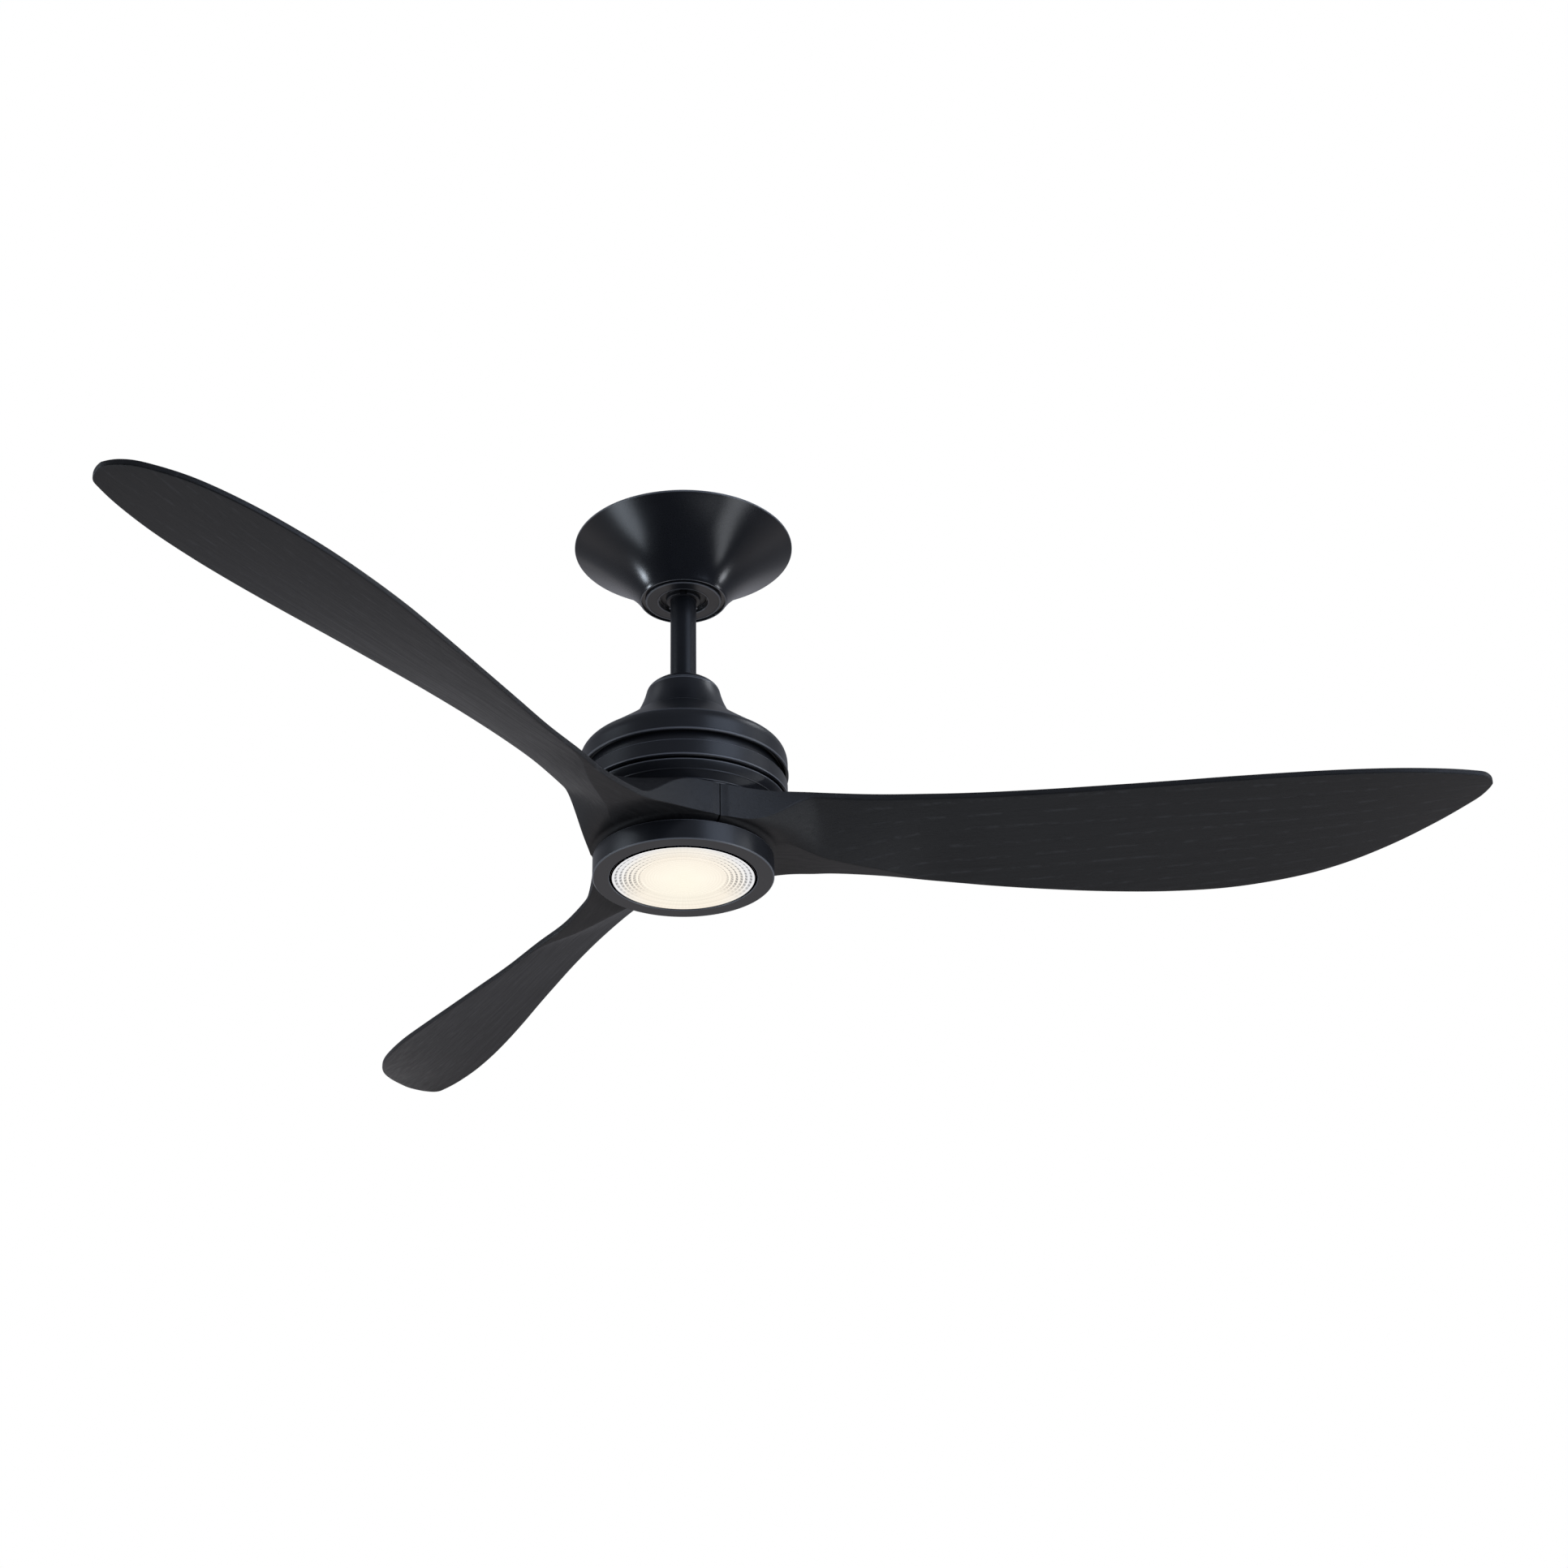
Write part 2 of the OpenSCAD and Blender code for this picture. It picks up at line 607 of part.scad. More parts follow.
module light_plate() color(zinc) up(0) difference() {
    post(31, light_h, light_h + 2);
    post(shaft_r, light_h - 1, light_h + 3);
    around(3) translate([pan_screw_r, 0, 0]) post(2, light_h - 1, light_h + 3);
}

module shaft_nut() color(steel) up(0) difference() {
    post(13, light_h + 2, light_h + 9, $fn = 6);
    post(shaft_r, light_h + 1, light_h + 10);
}

module led_driver() color("#e6e6e2") up(0) difference() {
    turned([[14, driver_h0], [31, driver_h0], [31, driver_h1 - 2], [29, driver_h1],
        [14, driver_h1]]);
    around(3) translate([pan_screw_r, 0, 0]) post(2.4, driver_h0 - 1, driver_h0 + 4);
}

module light_pan() color(aluminium) up(0) difference() {
    turned([[7, light_h - pan_top_t], [pan_r - 2, light_h - pan_top_t], [pan_r - 2, 5.8],
        [pan_r, 5.8], [pan_r, light_h], [7, light_h]]);
    around(3) translate([pan_screw_r, 0, 0]) post(2.3, light_h - 3, light_h + 1);
}

module pan_screws() color(steel) up(0) around(3) translate([pan_screw_r, 0, 0])
    screw_up(2, light_h - pan_top_t, light_h + 4, 3.5, 1.6);

module led_board() color("white") up(0) difference() {
    post(54, light_h - pan_top_t - board_t, light_h - pan_top_t);
    post(7, 5, 20);
    around(3) translate([pan_screw_r, 0, 0]) post(4, 5, 20);
}

module led_chips() color("#f4e29a") up(light_h - pan_top_t - board_t - 0.8) {
    for (ring = [[9, 14, 20], [12, 32, 0], [20, 46, 0]]) around(ring[0], ring[2])
        translate([ring[1] - 1.75, -1.75, 0]) cube([3.5, 3.5, 0.8]);
}

reflector_r = 66;

module light_reflector() color("white") up(0) turned([
    [55, light_h - pan_top_t], [56, light_h - pan_top_t], [reflector_r, 7], [reflector_r, 5.5],
    [62, 5.5]]);

module lens_gasket() color("#d8dadd") up(0) turned([[61, 4.5], [reflector_r, 4.5],
    [reflector_r, 5.5], [61, 5.5]]);

// Clear lens: a shallow flat disc with saw-tooth ridges around its face.
ridge_w = 2.6;
ridge_h = 1;
module lens() color([1, 0.95, 0.85, 0.7]) up(0) turned(concat(
    [[0, 4.5], [reflector_r, 4.5], [reflector_r, lens_flange_h], [lens_r + 0.7, lens_flange_h],
        [lens_r + 0.7, 0.6], [lens_r, 0.2]],
    [for (i = [0:ridges - 1]) let (r = lens_r - 1 - i * ridge_w)
        each [[r, 0.2], [r - ridge_w, 0.2 + ridge_h]]],
    [[lens_r - 1 - ridges * ridge_w, 0.7], [0, 0.7]]));

module light_bezel() color(black) up(0) turned([
    [lens_r + 1.2, lens_flange_h], [lens_r + 1.2, 0.6], [lens_r + 1.8, 0], [light_r - 1.4, 0],
    [light_r - 0.4, 0.4], [light_r, 1.4], [light_r, light_h - 1], [light_r - 0.8, light_h],
    [pan_r + 0.4, light_h], [pan_r + 0.4, 5.4], [reflector_r + 0.4, 5.4],
    [reflector_r + 0.4, lens_flange_h]]);

ceiling_plate();
hanger_bracket();
bracket_rivets();
canopy();
canopy_screws();
canopy_trim_ring();
receiver_case();
wire_nuts();
hanger_pin();
hanger_ball();
downrod();
coupling_cover();
motor_coupling();
coupling_pin();
pin_clip();
set_screws();
upper_housing();
housing_screws();
lower_housing();
motor_shaft();
stator_core();
stator_windings();
rotor_can();
rotor_magnets();
rotor_cover();
upper_bearing();
lower_bearing();
blade_carrier();
carrier_screws();
blade_1();
blade_2();
blade_3();
blade_screws();
light_plate();
shaft_nut();
led_driver();
light_pan();
pan_screws();
led_board();
led_chips();
light_reflector();
lens_gasket();
lens();
light_bezel();
motor_leads();
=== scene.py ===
import json
import math

import bmesh
import bpy
from mathutils import Matrix, Vector

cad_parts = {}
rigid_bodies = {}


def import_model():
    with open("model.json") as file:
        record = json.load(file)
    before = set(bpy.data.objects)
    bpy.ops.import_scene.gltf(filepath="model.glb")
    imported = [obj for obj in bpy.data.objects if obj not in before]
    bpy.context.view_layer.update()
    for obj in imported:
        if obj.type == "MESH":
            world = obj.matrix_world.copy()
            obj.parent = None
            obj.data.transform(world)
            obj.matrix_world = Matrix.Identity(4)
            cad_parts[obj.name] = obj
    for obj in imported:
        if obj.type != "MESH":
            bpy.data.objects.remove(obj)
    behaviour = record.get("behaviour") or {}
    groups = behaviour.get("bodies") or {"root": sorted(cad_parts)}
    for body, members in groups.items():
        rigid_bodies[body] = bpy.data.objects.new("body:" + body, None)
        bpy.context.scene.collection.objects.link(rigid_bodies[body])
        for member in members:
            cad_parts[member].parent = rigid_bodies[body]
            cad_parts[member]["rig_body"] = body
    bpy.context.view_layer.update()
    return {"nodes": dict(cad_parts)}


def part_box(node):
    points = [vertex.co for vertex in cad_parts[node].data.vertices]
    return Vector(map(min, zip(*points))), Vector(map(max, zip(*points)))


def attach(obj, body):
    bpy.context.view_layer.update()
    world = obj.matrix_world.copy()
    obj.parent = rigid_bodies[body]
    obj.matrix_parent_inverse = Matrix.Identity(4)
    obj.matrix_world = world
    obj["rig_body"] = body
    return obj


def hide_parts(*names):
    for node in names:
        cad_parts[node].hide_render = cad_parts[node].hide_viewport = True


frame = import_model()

# Outlines are in millimetres and are scaled by MM. Heights called h count up from LOW,
# the light's lowest face, and heights called z count from the ceiling.
MM = 0.001
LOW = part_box("light_bezel")[0].z / MM
LIGHT_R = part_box("light_bezel")[1].x / MM
LIGHT_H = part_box("light_bezel")[1].z / MM - LOW
CANOPY_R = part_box("canopy")[1].x / MM
CANOPY_H = -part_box("canopy")[0].z / MM
HUB_H0 = 19.5
HUB_H1 = 52
HUB_R = 76
SWEEP_R = 654
HOUSING_R = 87
FIRST_BLADE_AT = -7
BALL_Z = (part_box("hanger_pin")[0].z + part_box("hanger_pin")[1].z) / 2 / MM
ROD_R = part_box("downrod")[1].x / MM
PIN_H = (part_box("coupling_pin")[0].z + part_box("coupling_pin")[1].z) / 2 / MM - LOW
DOME_SCREW_R = 30

CAD = frame["nodes"]
SLOT_OF = {name: piece.data.materials[0].name for name, piece in CAD.items()}


# ------------------------------------------------------------------ camera and stage

SENSOR_MM = 36
FOCAL_MM = 66.7
CAMERA_SHIFT = 0.0642        # slides the picture sideways
CAMERA_OUT = 2.141           # metres in front of the fan's axis
CAMERA_UNDER = 1.027         # metres under the light's lowest face
CAMERA_LOOKS_UP = 27.5       # degrees above the horizon
LIT_POINT = Vector((0, 0, -0.15))    # the point that every soft box faces


def make_camera():
    """The camera stands below the fan and in front of it, and looks up at it."""
    lens = bpy.data.cameras.new("camera")
    lens.sensor_width = SENSOR_MM
    lens.lens = FOCAL_MM
    lens.shift_x = CAMERA_SHIFT
    camera = bpy.data.objects.new("camera", lens)
    camera.location = (0, -CAMERA_OUT, LOW * MM - CAMERA_UNDER)
    camera.rotation_euler = (math.radians(90 + CAMERA_LOOKS_UP), 0, 0)
    bpy.context.scene.collection.objects.link(camera)
    bpy.context.scene.camera = camera


def soft_box(name, azimuth, rise, distance, size, radiance, colour):
    """A soft box that faces the fan. Azimuth 0 is the camera's side and +90 is +X."""
    a, e = math.radians(azimuth), math.radians(rise)
    outward = Vector((math.sin(a) * math.cos(e), -math.cos(a) * math.cos(e), math.sin(e)))
    data = bpy.data.lights.new(name, "AREA")
    data.shape = "RECTANGLE"
    data.size, data.size_y = size
    data.energy = radiance * math.pi * size[0] * size[1]
    data.color = colour
    light = bpy.data.objects.new(name, data)
    light.location = LIT_POINT + outward * distance
    aim = LIT_POINT - light.location
    light.rotation_euler = aim.to_track_quat("-Z", "Y").to_euler()
    light.visible_camera = False
    bpy.context.scene.collection.objects.link(light)
    return light


def make_lights():
    """Soft boxes all round: name, azimuth, rise, distance, size, radiance and colour."""
    cool, plain = (0.8, 0.89, 1), (0.9, 0.94, 1)
    soft_box("soft_left", -76, 9, 2.4, (1.2, 1.3), 1.9, cool)
    soft_box("soft_left_low", -97, -20, 2.35, (0.42, 0.34), 21, cool)
    soft_box("soft_left_wash", -94, -52, 2.4, (0.7, 0.5), 4.2, cool)
    soft_box("soft_left_high", -105, 52, 2.4, (0.9, 0.6), 0.5, plain)
    soft_box("soft_right", 84, 10, 2.4, (1.0, 1.2), 1.8, plain)
    soft_box("soft_right_low", 98, -19, 2.35, (0.36, 0.3), 11, plain)
    soft_box("soft_right_wash", 87, -50, 2.4, (0.8, 1.1), 2.8, plain)
    soft_box("soft_right_under", 88, -78, 2.4, (0.9, 0.8), 1.2, plain)
    soft_box("soft_right_high", 97, 46, 2.4, (0.9, 0.5), 3.6, plain)
    soft_box("soft_front_right", 46, 8, 2.6, (1.6, 3.2), 1.7, (0.74, 0.86, 1.1))
    soft_box("soft_behind", -159, -2, 1.25, (0.4, 0.3), 0.4, (1, 0.96, 0.94))
    above = soft_box("soft_high", 160, 55, 2.3, (2, 1.2), 4, (1, 0.98, 0.95))
    above.visible_glossy = False


def make_world():
    """A white backdrop to the eye. To everything else, a dim room: dark below and in front, a
    little lighter above, and bright where the floor runs out behind the fan."""
    world = bpy.data.worlds.new("studio")
    bpy.context.scene.world = world
    world.use_nodes = True
    tree = world.node_tree
    tree.nodes.clear()
    direction = tree.nodes.new("ShaderNodeTexCoord")
    split = tree.nodes.new("ShaderNodeSeparateXYZ")
    tree.links.new(direction.outputs["Generated"], split.inputs[0])

    def along(axis, *stops):
        """A ramp along one axis of the direction, each stop being (position, brightness)."""
        share = tree.nodes.new("ShaderNodeMapRange")
        share.inputs["From Min"].default_value = -1
        tree.links.new(split.outputs[axis], share.inputs["Value"])
        ramp = tree.nodes.new("ShaderNodeValToRGB")
        while len(ramp.color_ramp.elements) < len(stops):
            ramp.color_ramp.elements.new(1)
        for element, (position, brightness) in zip(ramp.color_ramp.elements, stops):
            element.position = (position + 1) / 2
            element.color = (brightness, brightness, brightness, 1)
        tree.links.new(share.outputs["Result"], ramp.inputs[0])
        return ramp.outputs["Color"]

    def combined(blend, one, two):
        mix = tree.nodes.new("ShaderNodeMix")
        mix.data_type = "RGBA"
        mix.blend_type = blend
        mix.inputs[0].default_value = 1
        for socket, value in zip((mix.inputs[6], mix.inputs[7]), (one, two)):
            if isinstance(value, tuple):
                socket.default_value = value
            else:
                tree.links.new(value, socket)
        return mix.outputs[2]

    warm, cold = (1.04, 0.98, 0.99, 1), (0.86, 0.93, 1.1, 1)
    by_height = along("Z", (-1, 0.5), (-0.8, 0.35), (-0.57, 0.6), (-0.45, 0.64), (-0.29, 0.13),
                      (-0.08, 0.08), (0, 0.1), (0.07, 0.22), (0.5, 0.1))
    by_depth = along("Y", (-0.05, 0), (0.35, 0.35), (0.9, 1))
    behind = combined("MULTIPLY", combined("MULTIPLY", by_depth, by_height), warm)
    all_round = combined("MULTIPLY", along("Z", (-0.5, 0.035), (0.2, 0.2)), cold)
    room = combined("ADD", behind, all_round)
    shaded = tree.nodes.new("ShaderNodeBackground")
    backdrop = tree.nodes.new("ShaderNodeBackground")
    backdrop.inputs["Color"].default_value = (1, 1, 1, 1)
    chosen = tree.nodes.new("ShaderNodeMixShader")
    path = tree.nodes.new("ShaderNodeLightPath")
    out = tree.nodes.new("ShaderNodeOutputWorld")
    tree.links.new(room, shaded.inputs["Color"])
    tree.links.new(path.outputs["Is Camera Ray"], chosen.inputs[0])
    tree.links.new(shaded.outputs[0], chosen.inputs[1])
    tree.links.new(backdrop.outputs[0], chosen.inputs[2])
    tree.links.new(chosen.outputs[0], out.inputs[0])


# ---------------------------------------------------------------------- materials

# Values that a mesh keeps for its material: how much a point lies on a turned piece's small
# rounded edge, where the paint gets a painted highlight, and its place along its own blade.
LIP = "lip"
GRAIN = "grain"
PAINT = (0.0125, 0.0135, 0.0165)
# The colour of the painted highlight along small rounded edges.
EDGE_HIGHLIGHT = (0.135, 0.14, 0.152)


def scaled(colour, share):
    return tuple(c * share for c in colour)


class Finish:
    """A material around one Principled shader, with short calls for its texture nodes."""

    def __init__(self, name, colour, roughness, metallic=0.0, **sockets):
        self.material = bpy.data.materials.new(name)
        self.material.use_nodes = True
        self.tree = self.material.node_tree
        self.shader = self.tree.nodes["Principled BSDF"]
        self.kept = None
        self.set("Base Color", (*colour, 1))
        self.set("Roughness", roughness)
        self.set("Metallic", metallic)
        for socket, value in sockets.items():
            self.set(socket.replace("_", " "), value)

    def set(self, socket, value):
        self.shader.inputs[socket].default_value = value

    def node(self, kind, **values):
        made = self.tree.nodes.new("ShaderNode" + kind)
        for name, value in values.items():
            setattr(made, name, value)
        return made

    def link(self, source, target):
        self.tree.links.new(source, target)

    def place(self, scale=(1, 1, 1), move=(0, 0, 0)):
        """The piece's own coordinates, in metres, times scale; or those that its mesh keeps."""
        if self.kept:
            coordinates = self.node("Attribute", attribute_name=self.kept).outputs["Vector"]
        else:
            coordinates = self.node("TexCoord").outputs["Object"]
        mapping = self.node("Mapping")
        mapping.inputs["Scale"].default_value = scale
        mapping.inputs["Location"].default_value = move
        self.link(coordinates, mapping.inputs["Vector"])
        return mapping.outputs["Vector"]

    def noise(self, where, scale, detail=4, roughness=0.55):
        made = self.node("TexNoise")
        made.inputs["Scale"].default_value = scale
        made.inputs["Detail"].default_value = detail
        made.inputs["Roughness"].default_value = roughness
        self.link(where, made.inputs["Vector"])
        return made.outputs["Fac"]

    def ramp(self, value, *stops):
        """Colours at positions along value, each stop being (position, colour)."""
        made = self.node("ValToRGB")
        elements = made.color_ramp.elements
        while len(elements) < len(stops):
            elements.new(1)
        for element, (position, colour) in zip(elements, stops):
            element.position = position
            element.color = (*colour, 1)
        self.link(value, made.inputs[0])
        return made.outputs["Color"]

    def span(self, value, low, high, start=0.3, end=0.7):
        """value's stretch from start to end, mapped to low and high."""
        made = self.node("MapRange")
        for socket, number in zip(("From Min", "From Max", "To Min", "To Max"),
                                  (start, end, low, high)):
            made.inputs[socket].default_value = number
        self.link(value, made.inputs["Value"])
        return made.outputs["Result"]

    def math(self, operation, *values):
        made = self.node("Math", operation=operation)
        for socket, value in zip(made.inputs, values):
            self.give(socket, value)
        return made.outputs[0]

    def times(self, a, b):
        return self.math("MULTIPLY", a, b)

    def length(self, x, y):
        """The length of (x, y)."""
        return self.math("SQRT", self.math("ADD", self.times(x, x), self.times(y, y)))

    def wave(self, value, per_unit):
        return self.math("SINE", self.times(value, per_unit))

    def mix(self, share, a, b, blend="MIX"):
        """a turning to b as share goes from 0 to 1, or the two blended another way."""
        made = self.node("Mix", data_type="RGBA", blend_type=blend)
        self.give(made.inputs[0], share)
        self.give(made.inputs[6], a)
        self.give(made.inputs[7], b)
        return made.outputs[2]

    def give(self, socket, value):
        """Sets a socket to a number or a colour, or links it to another node's output."""
        if isinstance(value, (int, float)):
            socket.default_value = value
        elif isinstance(value, tuple):
            socket.default_value = (*value, 1)
        else:
            self.link(value, socket)

    def edges(self, base, highlight):
        """base, turning to highlight along the small rounded edges of turned pieces: a painted highlight.
        """
        lip = self.node("Attribute", attribute_name=LIP)
        return self.mix(self.span(lip.outputs["Fac"], 0, 1, 0.2, 0.8), base, highlight)

    def colour(self, value):
        self.link(value, self.shader.inputs["Base Color"])

    def roughness(self, value):
        self.link(value, self.shader.inputs["Roughness"])

    def bump(self, height, strength, distance, under=None):
        """Relief on the shader, on top of the relief called under."""
        made = self.node("Bump")
        made.inputs["Strength"].default_value = strength
        made.inputs["Distance"].default_value = distance
        self.link(height, made.inputs["Height"])
        if under is not None:
            self.link(under, made.inputs["Normal"])
        self.link(made.outputs[0], self.shader.inputs["Normal"])
        return made.outputs[0]


def satin_paint(name, colour, roughness, shine=0.5):
    """Satin powder coat: fine orange peel, faint mottling of gloss and colour, and a painted highlight
    along its small rounded edges.
    """
    look = Finish(name, colour, roughness, Specular_IOR_Level=shine)
    where = look.place()
    cloud = look.noise(where, 18, 3)
    speckle = look.noise(where, 1400, 2)
    light = tuple(c + 0.001 for c in scaled(colour, 1.25))
    coat = look.ramp(look.mix(0.35, cloud, speckle), (0.3, scaled(colour, 0.8)), (0.7, light))
    # Painted highlight: the coat turns lighter along the small rounded edges.
    look.colour(look.edges(coat, EDGE_HIGHLIGHT))
    look.roughness(look.span(look.mix(0.3, cloud, speckle), roughness - 0.02, roughness + 0.03))
    peel = look.bump(look.noise(where, 420, 2), 0.06, 0.0002)
    look.bump(speckle, 0.05, 0.0001, under=peel)
    return look.material


def stained_wood():
    """Black-brown stained wood: long open grain, faint broken growth lines on the long faces and
    a dry satin lacquer."""
    look = Finish("stained_wood_grain", (0.014, 0.0135, 0.014), 0.5, Specular_IOR_Level=0.38)
    look.kept = GRAIN
    sway = look.noise(look.place(scale=(2.2, 9, 9)), 1, 2)
    growth = look.node("TexWave", wave_type="BANDS", bands_direction="Y", wave_profile="SIN")
    for socket, value in (("Scale", 24), ("Distortion", 6), ("Detail", 2), ("Detail Scale", 0.5)):
        growth.inputs[socket].default_value = value
    look.link(look.place(scale=(0.13, 1, 1), move=(0, 0.013, 0)), growth.inputs["Vector"])
    lines = look.span(growth.outputs["Fac"], 0, 1, 0.86, 1)
    breaks = look.span(look.noise(look.place(scale=(90, 260, 260)), 1, 3), 0, 1, 0.46, 0.62)
    long_faces = look.node("SeparateXYZ")
    look.link(look.place(), long_faces.inputs[0])
    outboard = look.span(long_faces.outputs[0], 0, 1, 0.1, 0.17)
    fibre = look.noise(look.place(scale=(1.1, 26, 26)), 14, 5, 0.62)
    pores = look.span(look.noise(look.place(scale=(34, 900, 900)), 1, 2), 0, 1, 0.56, 0.7)
    base = look.ramp(fibre, (0.28, (0.0105, 0.0105, 0.0115)), (0.55, (0.0155, 0.015, 0.0155)),
                     (0.8, (0.023, 0.0225, 0.0235)))
    streak = look.times(look.times(lines, breaks), look.times(outboard, 0.34))
    lit = look.mix(streak, base, (0.07, 0.07, 0.075))
    toned = look.mix(look.span(sway, 0, 0.45), lit, (0.011, 0.0105, 0.011))
    look.colour(look.mix(look.times(pores, 0.4), toned, (0.005, 0.005, 0.006)))
    look.roughness(look.span(fibre, 0.42, 0.56))
    grain = look.bump(fibre, 0.18, 0.0005)
    look.bump(look.math("SUBTRACT", 1, pores), 0.2, 0.0002, under=grain)
    return look.material


def plated_steel(name, colour, roughness, streaks=(1, 1, 1)):
    """Metal with fine handling marks and a slight mottling of its plating."""
    look = Finish(name, colour, roughness, metallic=1)
    cloud = look.noise(look.place(), 30, 5)
    fine = look.noise(look.place(scale=streaks), 600, 3)
    tone = look.mix(0.4, cloud, fine)
    look.colour(look.ramp(tone, (0.25, scaled(colour, 0.72)), (0.75, colour)))
    look.roughness(look.span(look.mix(0.5, cloud, fine), roughness - 0.08, roughness + 0.12))
    look.bump(fine, 0.08, 0.0001)
    return look.material


def moulded(name, colour, roughness, **sockets):
    """Moulded plastic or rubber with a fine spark-eroded texture."""
    look = Finish(name, colour, roughness, **sockets)
    grainy = look.noise(look.place(), 900, 3)
    cloud = look.noise(look.place(), 24, 3)
    tone = look.mix(0.5, cloud, grainy)
    look.colour(look.ramp(tone, (0.25, scaled(colour, 0.8)), (0.75, colour)))
    look.roughness(look.span(grainy, roughness - 0.06, roughness + 0.08))
    look.bump(grainy, 0.12, 0.00015)
    return look.material


def copper_winding():
    """Enamelled wire laid in turns, seen as fine parallel ridges."""
    look = Finish("copper_wire_turns", (0.5, 0.2, 0.07), 0.32, metallic=1)
    turns = look.node("TexWave", wave_type="BANDS", bands_direction="Z", wave_profile="SIN")
    turns.inputs["Scale"].default_value = 520
    turns.inputs["Distortion"].default_value = 0.4
    look.link(look.place(), turns.inputs["Vector"])
    look.colour(look.ramp(turns.outputs["Fac"], (0.1, (0.2, 0.07, 0.025)), (0.8, (0.62, 0.27, 0.1))))
    look.bump(turns.outputs["Fac"], 0.5, 0.0003)
    return look.material


def lit_lens():
    """Clear moulded lens, lit from inside: its emission paints the LEDs' light as it shows through the
    lens, warm at its middle, cooler by its rim, with a bright rim, and rings of short dark teeth between
    bright rings. The dark teeth, faint fine rings and spokes, and a dark ring by the rim are painted shade."""
    look = Finish("clear_lens_lit", LENS_BODY, 0.2, Specular_IOR_Level=0.5)
    centre = look.node("SeparateXYZ")
    look.link(look.place(), centre.inputs[0])
    x, y = centre.outputs[0], centre.outputs[1]
    radius = look.length(x, y)
    angle = look.math("ARCTAN2", y, x)
    share = look.math("DIVIDE", radius, LENS_R * MM)

    off_glow = look.times(look.math("SUBTRACT", y, GLOW_Y * MM), GLOW_DEPTH)
    reach = look.math("DIVIDE", look.length(x, off_glow), GLOW_REACH * LENS_R * MM)
    glow = look.ramp(reach, (0, (1, 0.93, 0.77)), (0.25, (1, 0.93, 0.78)), (0.5, (1, 0.91, 0.77)),
                     (0.64, (0.96, 0.9, 0.8)), (0.72, (0.9, 0.89, 0.88)), (0.9, (0.7, 0.72, 0.76)))

    ring = look.math("DIVIDE", look.math("SUBTRACT", RING_FROM * MM, radius), RING_W * MM)
    off_row = look.math("ABSOLUTE", look.math("SUBTRACT", look.math("FRACT", ring), ROW_AT))
    row = look.span(off_row, 1, 0, 0.17, 0.33)
    in_rings = look.times(look.span(ring, 0, 1, -0.1, 0.1), look.span(ring, 1, 0, RINGS - 2, RINGS + 0.5))
    # Painted shade: rows of dark teeth in the glow, whose teeth show most to the sides and whose rows fade
    # out on the side away from the camera.
    near_side = look.span(look.math("DIVIDE", y, radius), 1, 0, 0.15, 0.7)
    sideways = look.span(look.math("ABSOLUTE", look.math("DIVIDE", x, radius)), 0, 1, 0.15, 0.75)
    gaps = look.times(look.span(look.wave(angle, TEETH), 0.24, 0.66, -0.6, 0.5), sideways)
    gaps = look.math("MAXIMUM", gaps, ROW_SHADE)
    tooth_shade = look.times(look.times(row, gaps), look.times(in_rings, near_side))

    # Painted shade of the groove by the rim: both the glow and the base colour go dark there.
    edge = look.span(radius, 0, 1, RIM_SHADE_FROM * MM, (RIM_SHADE_FROM + RIM_SHADE_W) * MM)
    look.colour(look.ramp(edge, (0, LENS_BODY), (1, (0.004, 0.004, 0.005))))
    # Painted shade: faint fine rings and spokes darken the glow.
    fine_rings = look.span(look.wave(radius, 2 * math.pi / (FINE_W * MM)), 0, 0.08, -1, 1)
    ripple = look.times(fine_rings, look.span(share, 0.1, 1, 0.2, 0.6))
    spokes = look.span(look.wave(angle, 2 * TEETH), 0, 0.03, -1, 1)
    spoke = look.times(spokes, look.span(share, 0, 1, 0.25, 0.6))
    lightness = look.math("SUBTRACT", 1, look.math("MAXIMUM", tooth_shade, edge))
    lightness = look.math("SUBTRACT", lightness, look.math("ADD", ripple, spoke))
    look.link(look.mix(1, glow, lightness, blend="MULTIPLY"), look.shader.inputs["Emission Color"])
    look.set("Emission Strength", 0.93)
    look.roughness(look.span(look.noise(look.place(), 60, 2), 0.16, 0.26))
    return look.material


def finishes():
    """One material for each of the record's slots."""
    return {
        "black_metal": satin_paint("black_metal_satin", PAINT, 0.33),
        "black_casting": satin_paint("black_casting_satin", PAINT, 0.34),
        "stained_wood": stained_wood(),
        "zinc_steel": plated_steel("zinc_steel_plated", (0.58, 0.59, 0.6), 0.34),
        "screw_steel": plated_steel("screw_steel_machined", (0.5, 0.5, 0.52), 0.28, (1, 1, 6)),
        "lamination_steel": plated_steel("lamination_steel_stack", (0.22, 0.22, 0.23), 0.4, (0.1, 0.1, 4)),
        "cast_aluminium": plated_steel("cast_aluminium_rough", (0.62, 0.63, 0.64), 0.48),
        "copper_wire": copper_winding(),
        "dark_plastic": moulded("dark_plastic_moulded", (0.022, 0.022, 0.025), 0.42),
        "orange_plastic": moulded("orange_plastic_moulded", (0.62, 0.22, 0.04), 0.4),
        "white_plastic": moulded("white_plastic_moulded", (0.8, 0.8, 0.78), 0.4),
        "led_phosphor": moulded("led_phosphor_gel", (0.85, 0.66, 0.2), 0.3,
                                Emission_Color=(1, 0.85, 0.6, 1), Emission_Strength=2),
        "silicone": moulded("silicone_soft", (0.7, 0.71, 0.72), 0.5),
        "wire_insulation": moulded("wire_insulation_soft", (0.12, 0.12, 0.13), 0.45),
        "clear_lens": lit_lens(),
    }


# --------------------------------------------------------------------- mesh helpers

LIP_STEP = 1.2               # the longest side of a small rounded edge, in mm
SHARP_FROM = 35              # degrees between two faces
HOLE_TURNS = 64


